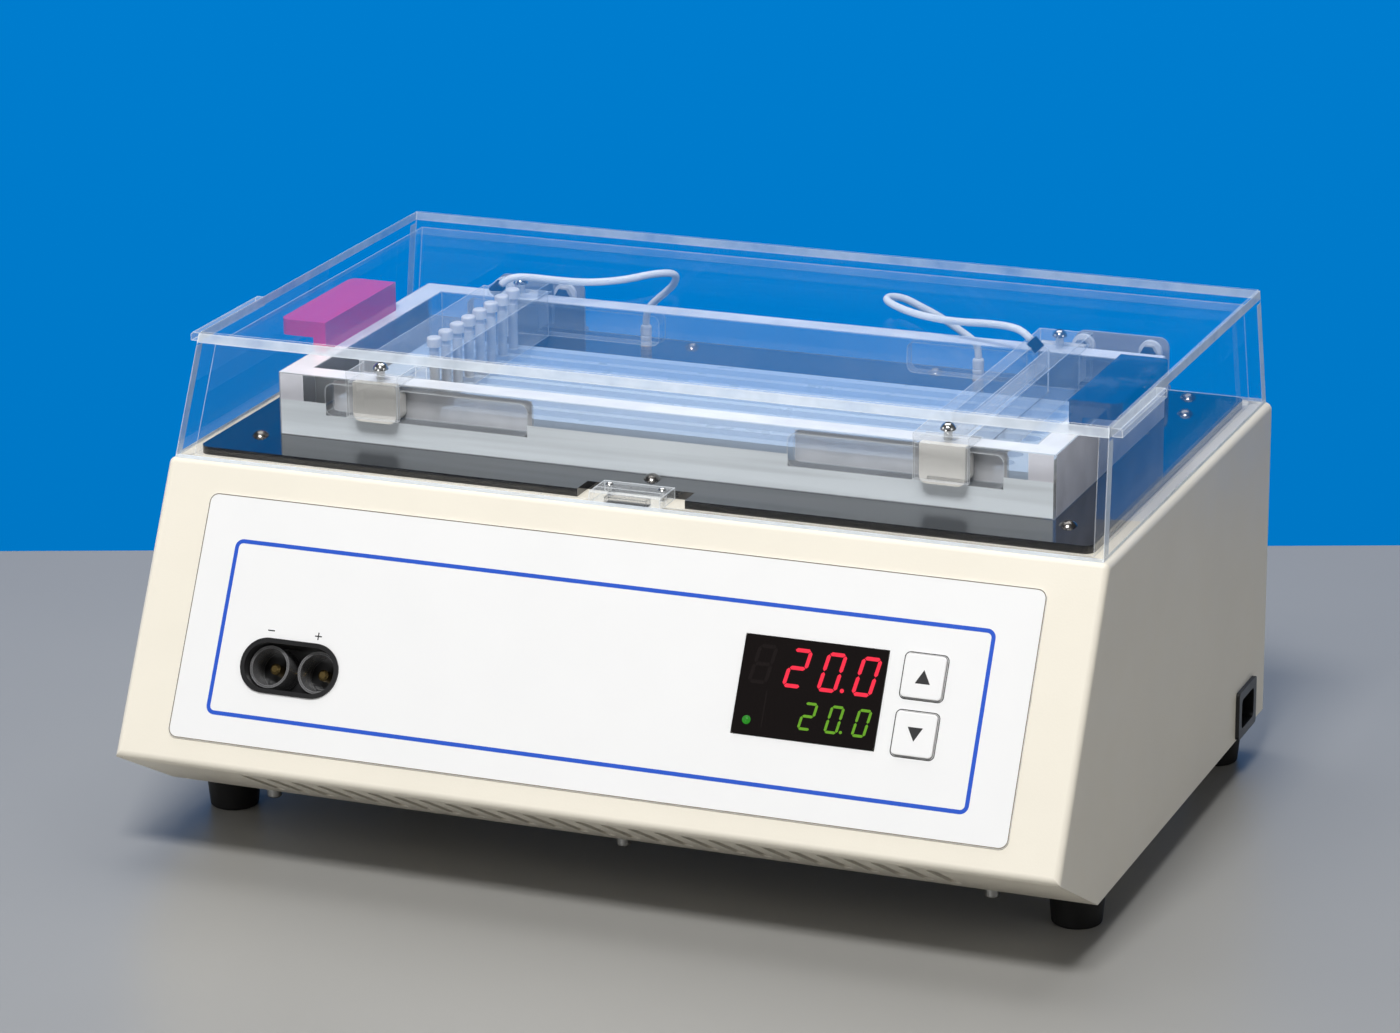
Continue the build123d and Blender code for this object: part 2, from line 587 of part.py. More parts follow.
# Printed overlay on the sloping front
with BuildPart() as front_overlay:
    with BuildSketch(BODY_FRONT_PLANE):
        with Locations((0, -OVERLAY_TOP - OVERLAY_LENGTH / 2)):
            RectangleRounded(OVERLAY_WIDTH, OVERLAY_LENGTH, OVERLAY_CORNER)
        with Locations((WINDOW_X, -WINDOW_DOWN)):
            Rectangle(WINDOW_WIDTH + 2 * FIT_GAP, WINDOW_LENGTH + 2 * FIT_GAP, mode=Mode.SUBTRACT)
        with Locations((KEY_X, -KEY_UP_DOWN), (KEY_X, -KEY_UP_DOWN - KEY_PITCH)):
            RectangleRounded(
                KEY_WIDTH + 2 * FIT_GAP, KEY_LENGTH + 2 * FIT_GAP, KEY_CORNER + FIT_GAP, mode=Mode.SUBTRACT
            )
        with Locations((SOCKET_X, -SOCKET_DOWN)):
            SlotOverall(
                SOCKET_BODY_WIDTH + 2 * FIT_GAP, SOCKET_BODY_LENGTH + 2 * FIT_GAP, mode=Mode.SUBTRACT
            )
    extrude(amount=OVERLAY_THICK)
finish(front_overlay.part, "front_overlay")

# Dark window over the number displays
with BuildPart() as display_window:
    with BuildSketch(BODY_FRONT_PLANE.offset(OVERLAY_THICK + WINDOW_PROUD - WINDOW_THICK)):
        with Locations((WINDOW_X, -WINDOW_DOWN)):
            RectangleRounded(WINDOW_WIDTH, WINDOW_LENGTH, WINDOW_CORNER)
    extrude(amount=WINDOW_THICK)
finish(display_window.part, "display_window")

# Display board: circuit board, display block, two key switches and four posts to the casing
WINDOW_BACK = WINDOW_THICK - OVERLAY_THICK - WINDOW_PROUD
KEY_BACK = KEY_DEPTH - KEY_PROUD - OVERLAY_THICK
with BuildPart() as display_board:
    with BuildSketch(BODY_FRONT_PLANE.offset(-BOARD_DEPTH)):
        with Locations((BOARD_X, -WINDOW_DOWN)):
            Rectangle(BOARD_WIDTH, BOARD_LENGTH)
    extrude(amount=-BOARD_THICK)
    with BuildSketch(BODY_FRONT_PLANE.offset(-BOARD_DEPTH)):
        with Locations((WINDOW_X, -WINDOW_DOWN)):
            Rectangle(WINDOW_WIDTH - DISPLAY_MARGIN, WINDOW_LENGTH - DISPLAY_MARGIN)
    extrude(amount=BOARD_DEPTH - WINDOW_BACK - FIT_GAP)
    with BuildSketch(BODY_FRONT_PLANE.offset(-BOARD_DEPTH)):
        with Locations((KEY_X, -KEY_UP_DOWN), (KEY_X, -KEY_UP_DOWN - KEY_PITCH)):
            Rectangle(KEY_SWITCH_SIDE, KEY_SWITCH_SIDE)
    extrude(amount=BOARD_DEPTH - KEY_BACK - KEY_TRAVEL - SOFT_GAP)
    with BuildSketch(BODY_FRONT_PLANE.offset(-BOARD_DEPTH)):
        with Locations((BOARD_X, -WINDOW_DOWN)):
            with GridLocations(BOARD_WIDTH - POST_DIAMETER, BOARD_LENGTH - POST_DIAMETER, 2, 2):
                Circle(POST_DIAMETER / 2)
    extrude(amount=BOARD_DEPTH - SHEET)
finish(display_board.part, "display_board")

# Up and down keys
KEY_PLACES = {"key_up": -KEY_UP_DOWN, "key_down": -KEY_UP_DOWN - KEY_PITCH}
for key_name, key_place in KEY_PLACES.items():
    with BuildPart() as key:
        with BuildSketch(BODY_FRONT_PLANE.offset(-KEY_BACK)):
            with Locations((KEY_X, key_place)):
                RectangleRounded(KEY_WIDTH, KEY_LENGTH, KEY_CORNER)
        extrude(amount=KEY_DEPTH)
        fillet(key.faces().filter_by(BODY_FRONT_PLANE).sort_by(Axis.Z)[-1].edges(), radius=KEY_EDGE)
    finish(key.part, key_name)

# High-voltage input: black housing with two shrouded pins
with BuildPart() as socket_housing:
    with BuildSketch(BODY_FRONT_PLANE.offset(OVERLAY_THICK)):
        with Locations((SOCKET_X, -SOCKET_DOWN)):
            SlotOverall(SOCKET_WIDTH, SOCKET_LENGTH)
    extrude(amount=SOCKET_LIP_PROUD)
    with BuildSketch(BODY_FRONT_PLANE.offset(OVERLAY_THICK)):
        with Locations((SOCKET_X, -SOCKET_DOWN)):
            SlotOverall(SOCKET_BODY_WIDTH, SOCKET_BODY_LENGTH)
    extrude(amount=-SOCKET_DEPTH)
    with BuildSketch(BODY_FRONT_PLANE.offset(OVERLAY_THICK + SOCKET_LIP_PROUD)):
        with Locations((SOCKET_X, -SOCKET_DOWN)):
            SlotOverall(SOCKET_BODY_WIDTH - 2 * SOCKET_WALL, SOCKET_BODY_LENGTH - 2 * SOCKET_WALL)
    extrude(amount=-(SOCKET_DEPTH + SOCKET_LIP_PROUD - SOCKET_FLOOR), mode=Mode.SUBTRACT)
    with BuildSketch(BODY_FRONT_PLANE):
        with Locations((SOCKET_X, -SOCKET_DOWN)):
            with GridLocations(SOCKET_PITCH, 1.0, 2, 1):
                Circle(PIN_DIAMETER / 2)
    extrude(amount=-2 * SOCKET_DEPTH, mode=Mode.SUBTRACT)
finish(socket_housing.part, "socket_housing")

SOCKET_FLOOR_DEPTH = SOCKET_DEPTH - SOCKET_FLOOR - OVERLAY_THICK
with BuildPart() as socket_shrouds:
    with BuildSketch(BODY_FRONT_PLANE.offset(-SOCKET_FLOOR_DEPTH)):
        with Locations((SOCKET_X, -SOCKET_DOWN)):
            with GridLocations(SOCKET_PITCH, 1.0, 2, 1):
                Circle(SHROUD_DIAMETER / 2)
                Circle(SHROUD_DIAMETER / 2 - SHROUD_WALL, mode=Mode.SUBTRACT)
    extrude(amount=SOCKET_FLOOR_DEPTH - SHROUD_INSET)
finish(socket_shrouds.part, "socket_shrouds")

with BuildPart() as socket_pins:
    with BuildSketch(BODY_FRONT_PLANE.offset(-PIN_INSET)):
        with Locations((SOCKET_X, -SOCKET_DOWN)):
            with GridLocations(SOCKET_PITCH, 1.0, 2, 1):
                Circle(PIN_DIAMETER / 2)
    extrude(amount=-(SOCKET_DEPTH - PIN_INSET + PIN_TAIL))
    chamfer(socket_pins.edges().filter_by(GeomType.CIRCLE).group_by(Axis.Y)[0], length=PIN_CHAMFER)
finish(socket_pins.part, "socket_pins")

# Glossy black deck plate with the cooling plate's window and the magnet notch
with BuildPart() as deck_plate:
    with BuildSketch(Plane.XY.offset(RIM_Z)):
        with Locations((0, FRONT_TOP_Y + DECK_SETBACK + DECK_DEPTH / 2)):
            RectangleRounded(DECK_WIDTH, DECK_DEPTH, DECK_CORNER)
        with Locations((0, FRONT_TOP_Y + DECK_SETBACK + NOTCH_DEPTH / 2)):
            Rectangle(NOTCH_WIDTH, NOTCH_DEPTH, mode=Mode.SUBTRACT)
        with Locations((0, TRAY_Y)):
            RectangleRounded(
                COOL_OPENING_WIDTH, COOL_OPENING_DEPTH, COOL_CORNER + COOL_GAP, mode=Mode.SUBTRACT
            )
        with Locations(LEFT_PLUG, RIGHT_PLUG):
            Circle(DECK_SOCKET_DIAMETER / 2 + FIT_GAP, mode=Mode.SUBTRACT)
        with Locations(*DECK_SCREW_SPOTS):
            Circle(DECK_SCREW_SHANK / 2 + FIT_GAP, mode=Mode.SUBTRACT)
    extrude(amount=DECK_THICK)
finish(deck_plate.part, "deck_plate")

# Dome-headed screws that hold the deck to the rim
deck_screw = dome_screw(DECK_SCREW_HEAD, DECK_SCREW_DOME, DECK_SCREW_SHANK, DECK_SCREW_LENGTH)
with BuildPart() as deck_screws:
    with Locations(*[(x, y, DECK_Z) for x, y in DECK_SCREW_SPOTS]):
        add(deck_screw)
finish(deck_screws.part, "deck_screws")

# Cooling stack: aluminium plate under the tray, foam frame, Peltier modules, finned heat sink
PELTIER_TOP_Z = DECK_Z - COOL_THICK
SINK_TOP_Z = PELTIER_TOP_Z - PELTIER_THICK
with BuildPart() as cooling_plate:
    with BuildSketch(Plane.XY.offset(DECK_Z)):
        with Locations((0, TRAY_Y)):
            RectangleRounded(COOL_WIDTH, COOL_DEPTH, COOL_CORNER)
    extrude(amount=-COOL_THICK)
finish(cooling_plate.part, "cooling_plate")

with BuildPart() as plate_foam:
    with BuildSketch(Plane.XY.offset(RIM_Z - SHEET)):
        with Locations((0, TRAY_Y)):
            Rectangle(COOL_WIDTH + 2 * FOAM_MARGIN, COOL_DEPTH + 2 * FOAM_MARGIN)
    extrude(amount=SINK_TOP_Z - (RIM_Z - SHEET))
    with BuildSketch(Plane.XY.offset(RIM_Z - SHEET)):
        with Locations((0, TRAY_Y)):
            Rectangle(COOL_WIDTH, COOL_DEPTH)
    extrude(amount=PELTIER_TOP_Z - (RIM_Z - SHEET), mode=Mode.SUBTRACT)
    with BuildSketch(Plane.XY.offset(RIM_Z)):
        with Locations((0, TRAY_Y)):
            with GridLocations(PELTIER_PITCH, 1.0, PELTIER_COUNT, 1):
                Rectangle(PELTIER_SIDE + 2 * FIT_GAP, PELTIER_SIDE + 2 * FIT_GAP)
    extrude(amount=-(RIM_Z - SINK_TOP_Z), mode=Mode.SUBTRACT)
finish(plate_foam.part, "plate_foam")

with BuildPart() as peltier_modules:
    with BuildSketch(Plane.XY.offset(SINK_TOP_Z)):
        with Locations((0, TRAY_Y)):
            with GridLocations(PELTIER_PITCH, 1.0, PELTIER_COUNT, 1):
                Rectangle(PELTIER_SIDE, PELTIER_SIDE)
    extrude(amount=PELTIER_THICK)
finish(peltier_modules.part, "peltier_modules")

with BuildPart() as heat_sink:
    with BuildSketch(Plane.XY.offset(SINK_TOP_Z)):
        with Locations((0, TRAY_Y)):
            Rectangle(SINK_WIDTH, SINK_DEPTH)
    extrude(amount=-SINK_BASE)
    with BuildSketch(Plane.XY.offset(SINK_TOP_Z - SINK_BASE)):
        with Locations((0, TRAY_Y)):
            with GridLocations(FIN_PITCH, 1.0, FIN_COUNT, 1):
                Rectangle(FIN_THICK, SINK_DEPTH)
    extrude(amount=-FIN_HEIGHT)
finish(heat_sink.part, "heat_sink")

# Sockets in the deck that take the lead plugs, and the plugs
SOCKET_BORE = PLUG_PIN + 2 * CLAMP_RUNNING_GAP
with BuildPart() as deck_sockets:
    with BuildSketch(Plane.XY.offset(DECK_Z)):
        with Locations(LEFT_PLUG, RIGHT_PLUG):
            Circle(DECK_SOCKET_DIAMETER / 2)
    extrude(amount=-DECK_SOCKET_LENGTH)
    with BuildSketch(Plane.XY.offset(DECK_Z)):
        with Locations(LEFT_PLUG, RIGHT_PLUG):
            Circle(SOCKET_BORE / 2)
    extrude(amount=-(PLUG_PIN_LENGTH + FIT_GAP), mode=Mode.SUBTRACT)
finish(deck_sockets.part, "deck_sockets")

with BuildPart() as lead_plugs:
    with BuildSketch(Plane.XY.offset(DECK_Z)):
        with Locations(LEFT_PLUG, RIGHT_PLUG):
            Circle(PLUG_DIAMETER / 2)
    extrude(amount=PLUG_HEIGHT)
    with BuildSketch(Plane.XY.offset(DECK_Z)):
        with Locations(LEFT_PLUG, RIGHT_PLUG):
            Circle(PLUG_PIN / 2)
    extrude(amount=-PLUG_PIN_LENGTH)
finish(lead_plugs.part, "lead_plugs")

# Clear focusing tray: four thick walls with a milled pocket on the outside of each long wall
POCKET_X = (POCKET_OUTER_X + POCKET_INNER_X) / 2
POCKET_Z = DECK_Z + POCKET_BOTTOM + POCKET_HEIGHT / 2
with BuildPart() as tray:
    with BuildSketch(Plane.XY.offset(DECK_Z)):
        with Locations((0, TRAY_Y)):
            RectangleRounded(TRAY_WIDTH, TRAY_DEPTH, TRAY_CORNER)
    extrude(amount=TRAY_HEIGHT)
    with BuildSketch(Plane.XY.offset(TRAY_TOP_Z)):
        with Locations((0, TRAY_Y)):
            Rectangle(TRAY_WIDTH - 2 * TRAY_WALL, TRAY_DEPTH - 2 * TRAY_WALL)
    extrude(amount=-(TRAY_HEIGHT - TRAY_FLOOR), mode=Mode.SUBTRACT)
    for wall_y, inward in ((TRAY_FRONT_Y, -POCKET_DEPTH), (TRAY_BACK_Y, POCKET_DEPTH)):
        with BuildSketch(Plane.XZ.offset(-wall_y)):
            with Locations((-POCKET_X, POCKET_Z), (POCKET_X, POCKET_Z)):
                RectangleRounded(POCKET_LENGTH, POCKET_HEIGHT, POCKET_CORNER)
        extrude(amount=inward, mode=Mode.SUBTRACT)
finish(tray.part, "tray")

# White strip holder with one channel for each gel strip
HOLDER_DEPTH = CHANNEL_COUNT * CHANNEL_PITCH + 2 * (CHANNEL_PITCH - CHANNEL_WIDTH)
with BuildPart() as strip_holder:
    with BuildSketch(Plane.XY.offset(DECK_Z + TRAY_FLOOR)):
        with Locations((0, TRAY_Y)):
            RectangleRounded(HOLDER_WIDTH, HOLDER_DEPTH, HOLDER_CORNER)
    extrude(amount=HOLDER_THICK)
    with BuildSketch(Plane.XY.offset(HOLDER_TOP_Z)):
        with Locations((0, TRAY_Y)):
            with GridLocations(1.0, CHANNEL_PITCH, 1, CHANNEL_COUNT):
                SlotOverall(HOLDER_WIDTH - 2 * CHANNEL_END, CHANNEL_WIDTH)
    extrude(amount=-CHANNEL_DEPTH, mode=Mode.SUBTRACT)
finish(strip_holder.part, "strip_holder")

# Lifting handles on the tray's end walls, an L in section
HANDLE_TOP_Z = TRAY_TOP_Z + HANDLE_RISE
HANDLE_Y = FRONT_TOP_Y + HANDLE_SETBACK + HANDLE_LENGTH / 2
HANDLE_INNER_X = TRAY_WIDTH / 2 - HANDLE_LEG
HANDLE_OUTER_X = TRAY_WIDTH / 2 + HANDLE_OVERHANG
for handle_name, side in (("left_handle", -1), ("right_handle", 1)):
    with BuildPart() as handle:
        with BuildSketch(Plane.XY.offset(HANDLE_TOP_Z)):
            with Locations((side * (HANDLE_INNER_X + HANDLE_OUTER_X) / 2, HANDLE_Y)):
                Rectangle(HANDLE_OUTER_X - HANDLE_INNER_X, HANDLE_LENGTH)
        extrude(amount=-HANDLE_PLATE)
        outer_edges = handle.edges().filter_by(Axis.Z).filter_by(
            lambda edge: abs(abs(edge.center().X) - HANDLE_OUTER_X) < 0.01
        )
        fillet(outer_edges, radius=HANDLE_CORNER)
        with BuildSketch(Plane.XY.offset(TRAY_TOP_Z)):
            with Locations((side * (HANDLE_INNER_X + HANDLE_LEG / 2), HANDLE_Y)):
                Rectangle(HANDLE_LEG, HANDLE_LENGTH)
        extrude(amount=HANDLE_RISE - HANDLE_PLATE)
    finish(handle.part, handle_name)

# Electrode bars: a clear beam across the tray with a saddle over each long wall
SKIRT_FRONT_Y = TRAY_FRONT_Y - SKIRT_OUT
SKIRT_BACK_Y = TRAY_BACK_Y + SKIRT_OUT
BEAM_FRONT_Y = TRAY_FRONT_Y + TRAY_WALL + SOFT_GAP
BEAM_BACK_Y = TRAY_BACK_Y - TRAY_WALL - SOFT_GAP
BEAM_LENGTH = BEAM_BACK_Y - BEAM_FRONT_Y
CLAMP_SPOTS_Y = {"front": TRAY_FRONT_Y + CLAMP_SETBACK, "rear": TRAY_BACK_Y - CLAMP_SETBACK}
POST_X = POST_INSET - BAR_X
clamp_blank = dome_screw(CLAMP_HEAD, CLAMP_HEAD_HEIGHT, CLAMP_SHANK, BAR_TOP_PLATE + BAR_LIFT / 2)
LEFT_FERRULE = Plane(
    origin=(-BAR_X - LEFT_FERRULE_SHIFT, FRONT_TOP_Y + LEFT_FERRULE_SETBACK, BAR_TOP_Z - FERRULE_SUNK),
    x_dir=(0, 1, 0), z_dir=(sin(radians(FERRULE_TILT)), 0, cos(radians(FERRULE_TILT))),
)
RIGHT_FERRULE = Plane(
    origin=(BAR_X - RIGHT_FERRULE_SHIFT, FRONT_TOP_Y + RIGHT_FERRULE_SETBACK, BAR_TOP_Z - FERRULE_SUNK),
    x_dir=(0, 1, 0), z_dir=(-sin(radians(FERRULE_TILT)), 0, cos(radians(FERRULE_TILT))),
)
WIRE_Z = BAR_BOTTOM_Z - WIRE_DIAMETER / 2 - FIT_GAP
RISER_Y = BEAM_BACK_Y - RISER_SETBACK
BAR_FACTS = {
    "left": (-BAR_X, BEAM_SHIFT - BAR_X, LEFT_BAR_WIDTH, LEFT_FERRULE),
    "right": (BAR_X, BAR_X, RIGHT_BAR_WIDTH, RIGHT_FERRULE),
}
for side_name, (saddle_x, beam_x, beam_width, ferrule_plane) in BAR_FACTS.items():
    with BuildPart() as bar:
        with BuildSketch(Plane.YZ.offset(saddle_x - SADDLE_WIDTH / 2)):
            with BuildLine():
                Polyline(
                    (SKIRT_FRONT_Y, BAR_TOP_Z - SKIRT_DROP), (SKIRT_FRONT_Y, BAR_TOP_Z),
                    (SKIRT_BACK_Y, BAR_TOP_Z), (SKIRT_BACK_Y, BAR_TOP_Z - SKIRT_DROP),
                    (SKIRT_BACK_Y - SKIRT_THICK, BAR_TOP_Z - SKIRT_DROP),
                    (SKIRT_BACK_Y - SKIRT_THICK, BAR_UNDER_Z), (BEAM_BACK_Y, BAR_UNDER_Z),
                    (BEAM_BACK_Y, BAR_BOTTOM_Z), (BEAM_FRONT_Y, BAR_BOTTOM_Z),
                    (BEAM_FRONT_Y, BAR_UNDER_Z), (SKIRT_FRONT_Y + SKIRT_THICK, BAR_UNDER_Z),
                    (SKIRT_FRONT_Y + SKIRT_THICK, BAR_TOP_Z - SKIRT_DROP), close=True,
                )
            make_face()
        extrude(amount=SADDLE_WIDTH)
        with BuildSketch(Plane.XY.offset(BAR_BOTTOM_Z)):
            with Locations((beam_x, TRAY_Y)):
                Rectangle(beam_width, BEAM_LENGTH)
        extrude(amount=BAR_TOP_Z - BAR_BOTTOM_Z)
        if side_name == "right":
            with BuildSketch(Plane.XY.offset(BAR_TOP_Z)):
                with Locations((beam_x + GROOVE_SHIFT, TRAY_Y)):
                    SlotOverall(BEAM_LENGTH - 2 * GROOVE_END, GROOVE_WIDTH, rotation=90)
            extrude(amount=-GROOVE_DEPTH, mode=Mode.SUBTRACT)
        else:
            with BuildSketch(Plane.XY.offset(BAR_TOP_Z)):
                with Locations((POST_X, TRAY_Y)):
                    with GridLocations(1.0, CHANNEL_PITCH, 1, CHANNEL_COUNT):
                        Circle(POST_ROD_DIAMETER / 2 + CLAMP_RUNNING_GAP)
            extrude(amount=-(BAR_TOP_Z - BAR_BOTTOM_Z), mode=Mode.SUBTRACT)
        with BuildSketch(Plane.XY.offset(BAR_TOP_Z)):
            with Locations(*[(saddle_x, y) for y in CLAMP_SPOTS_Y.values()]):
                Circle(CLAMP_SHANK / 2 + CLAMP_RUNNING_GAP)
        extrude(amount=-BAR_TOP_PLATE, mode=Mode.SUBTRACT)
        with BuildSketch(ferrule_plane):
            Circle(FERRULE_DIAMETER / 2 + CLAMP_RUNNING_GAP)
        extrude(amount=2 * FERRULE_LENGTH, mode=Mode.SUBTRACT)
        with BuildSketch(Plane.XY.offset(BAR_BOTTOM_Z)):
            with Locations((saddle_x, RISER_Y)):
                Circle(WIRE_DIAMETER / 2 + CLAMP_RUNNING_GAP)
        extrude(amount=RISER_HEIGHT, mode=Mode.SUBTRACT)
    finish(bar.part, f"{side_name}_bar")

    with BuildPart() as sliders:
        for face_y, facing in ((SKIRT_FRONT_Y + SKIRT_THICK, 1), (SKIRT_BACK_Y - SKIRT_THICK, -1)):
            with BuildSketch(Plane.XZ.offset(-face_y)):
                with Locations((saddle_x, BAR_UNDER_Z - SLIDER_DROP / 2)):
                    Rectangle(SLIDER_WIDTH, SLIDER_DROP)
            extrude(amount=-facing * SLIDER_PLATE)
            with BuildSketch(Plane.XZ.offset(-face_y)):
                with Locations((saddle_x, POCKET_Z)):
                    RectangleRounded(SLIDER_WIDTH, POCKET_HEIGHT - 2 * SOFT_GAP, TONGUE_CORNER)
            extrude(amount=-facing * (SLIDER_PLATE + SOFT_GAP + TONGUE_DEPTH))
    finish(sliders.part, f"{side_name}_sliders")

    with BuildPart() as ferrule:
        with BuildSketch(ferrule_plane):
            Circle(FERRULE_DIAMETER / 2)
        extrude(amount=FERRULE_LENGTH)
    finish(ferrule.part, f"{side_name}_ferrule")

    with BuildPart() as wire:
        with BuildLine() as wire_line:
            Polyline(
                (saddle_x, BEAM_FRONT_Y + WIRE_END, WIRE_Z), (saddle_x, RISER_Y, WIRE_Z),
                (saddle_x, RISER_Y, BAR_BOTTOM_Z + RISER_HEIGHT),
            )
        with BuildSketch(Plane(origin=wire_line.line @ 0, z_dir=wire_line.line % 0)):
            Circle(WIRE_DIAMETER / 2)
        sweep(path=wire_line.line, transition=Transition.RIGHT)
    finish(wire.part, f"{side_name}_wire")

    for end_name, clamp_y in CLAMP_SPOTS_Y.items():
        with BuildPart() as clamp_screw:
            with Locations((saddle_x, clamp_y, BAR_TOP_Z)):
                add(clamp_blank)
            with BuildSketch(Plane.XY.offset(BAR_TOP_Z + CLAMP_HEAD_HEIGHT)):
                with Locations((saddle_x, clamp_y)):
                    RegularPolygon(CLAMP_HEX / sqrt(3), 6)
            extrude(amount=-CLAMP_HEX_DEPTH, mode=Mode.SUBTRACT)
        finish(clamp_screw.part, f"{side_name}_{end_name}_clamp")

# Eight clear posts through the left bar, one over each channel, with white caps
with BuildPart() as post_rods:
    with BuildSketch(Plane.XY.offset(BAR_BOTTOM_Z - FIT_GAP)):
        with Locations((POST_X, TRAY_Y)):
            with GridLocations(1.0, CHANNEL_PITCH, 1, CHANNEL_COUNT):
                Circle(POST_ROD_DIAMETER / 2)
    extrude(amount=BAR_TOP_Z + POST_RISE - POST_CAP_HEIGHT - BAR_BOTTOM_Z + FIT_GAP)
finish(post_rods.part, "post_rods")

with BuildPart() as post_caps:
    with BuildSketch(Plane.XY.offset(BAR_TOP_Z + POST_RISE)):
        with Locations((POST_X, TRAY_Y)):
            with GridLocations(1.0, CHANNEL_PITCH, 1, CHANNEL_COUNT):
                Circle(POST_CAP_DIAMETER / 2)
    extrude(amount=-POST_CAP_HEIGHT)
    fillet(post_caps.edges().group_by(Axis.Z)[-1], radius=POST_CAP_HEIGHT / 4)
finish(post_caps.part, "post_caps")


def lead_route(plane, bar_x, points):
    """A lead's route: straight out of its ferrule's mouth, then through points to its plug."""
    mouth = plane.origin + plane.z_dir * FERRULE_LENGTH
    straight = mouth + plane.z_dir * LEAD_START
    return [mouth, straight] + [Vector(bar_x + x, FRONT_TOP_Y + y, RIM_Z + z) for x, y, z in points]


def lead_radii(route):
    """The largest arc at each corner that its two runs leave room for."""
    radii = []
    for before, corner, after in zip(route, route[1:], route[2:]):
        turn = (corner - before).get_angle(after - corner)
        shorter = min((corner - before).length, (after - corner).length)
        radii.append(LEAD_ARC_SHARE * shorter / tan(radians(turn) / 2))
    return radii


# Leads from the bars to the deck sockets: X from the bar, distance behind the body's top edge,
# height above it
LEFT_LEAD_POINTS = [
    (5.35, 152.6, 36.5), (15.35, 158.2, 34.6), (27.75, 164.2, 33.1), (39.95, 170.4, 33.8),
    (50.35, 176.8, 35.9), (56.55, 183.2, 34.9), (54.15, 187.0, 29.2), (47.95, 188.6, 23.8),
    (42.75, 189.6, 19.0), (40.75, 190.0, 15.0), (40.75, 190.0, 11.0),
]
RIGHT_LEAD_POINTS = [
    (-14.35, 148.7, 36.7), (-24.55, 152.6, 35.9), (-36.15, 156.8, 34.2), (-47.95, 161.2, 33.2),
    (-59.15, 166.2, 33.1), (-67.75, 170.0, 34.2), (-72.55, 174.0, 35.0), (-72.75, 179.2, 35.0),
    (-68.35, 183.2, 33.8), (-62.35, 184.8, 30.6), (-54.75, 187.4, 26.2), (-47.55, 189.2, 21.2),
    (-42.35, 189.9, 17.6), (-40.75, 190.0, 14.6), (-40.75, 190.0, 11.0),
]
for lead_name, plane, bar_x, points in (
    ("left_lead", LEFT_FERRULE, -BAR_X, LEFT_LEAD_POINTS),
    ("right_lead", RIGHT_FERRULE, BAR_X, RIGHT_LEAD_POINTS),
):
    route = lead_route(plane, bar_x, points)
    radii = lead_radii(route)
    print(lead_name, "radii", [round(radius, 1) for radius in radii])
    with BuildPart() as lead:
        with BuildLine():
            lead_path = FilletPolyline(*route, radius=radii)
        with BuildSketch(Plane(origin=lead_path @ 0, z_dir=lead_path % 0)):
            Circle(LEAD_DIAMETER / 2)
        sweep(path=lead_path)
    section = pi * (LEAD_DIAMETER / 2) ** 2
    print(lead_name, "length", round(lead_path.length, 1))
    print(lead_name, "volume share", round(lead.part.volume / (section * lead_path.length), 4))
    finish(lead.part, lead_name)

# Clear lid: one shell with leaning front and sides and an upright back
LID_SIDE_LEAN = (LID_WIDTH - LID_TOP_WIDTH) / 2 / LID_HEIGHT
LID_FRONT_LEAN = (LID_TOP_SETBACK - LID_SETBACK) / LID_HEIGHT
LID_FRONT_Y = FRONT_TOP_Y + LID_SETBACK


def lid_section(height, wall):
    """Width, front and back of the lid's walls, wall inside their outer faces, at a height."""
    half_width = LID_WIDTH / 2 - LID_SIDE_LEAN * height - wall * hypot(1, LID_SIDE_LEAN)
    front = LID_FRONT_Y + LID_FRONT_LEAN * height + wall * hypot(1, LID_FRONT_LEAN)
    return 2 * half_width, front, BACK_Y - wall


def lid_frustum(bottom, top, wall):
    """A closed block between two heights over the rim, its sides wall inside the lid's faces."""
    with BuildPart() as frustum:
        for height in (bottom, top):
            width, front, back = lid_section(height, wall)
            with BuildSketch(Plane.XY.offset(RIM_Z + height)):
                with Locations((0, (front + back) / 2)):
                    Rectangle(width, back - front)
        loft()
    return frustum.part


LID_SCREW_SPOTS = [(x, RIM_Z + LEAF_SCREW_UP) for x in LEAF_SCREW_ROWS]
lid_outside = lid_frustum(0, LID_HEIGHT, 0)
lid_inside = lid_frustum(0, LID_HEIGHT - LID_WALL, LID_WALL)
with BuildPart() as lid:
    add(lid_outside)
    chamfer(lid.faces().sort_by(Axis.Z)[-1].edges(), length=LID_CHAMFER)
    add(lid_inside, mode=Mode.SUBTRACT)
    with BuildSketch(Plane.XY.offset(RIM_Z)):
        with Locations((0, FRONT_TOP_Y + BLOCK_SETBACK + BLOCK_DEPTH / 2)):
            Rectangle(BLOCK_WIDTH, BLOCK_DEPTH + 2 * BLOCK_SETBACK)
    extrude(amount=BLOCK_HEIGHT, mode=Mode.SUBTRACT)
    with BuildSketch(REAR_PLANE):
        with Locations(*[(-x, z) for x, z in LID_SCREW_SPOTS]):
            Circle(LEAF_SCREW_SHANK / 2 + CLAMP_RUNNING_GAP)
    extrude(amount=-LID_WALL, mode=Mode.SUBTRACT)
finish(lid.part, "lid")

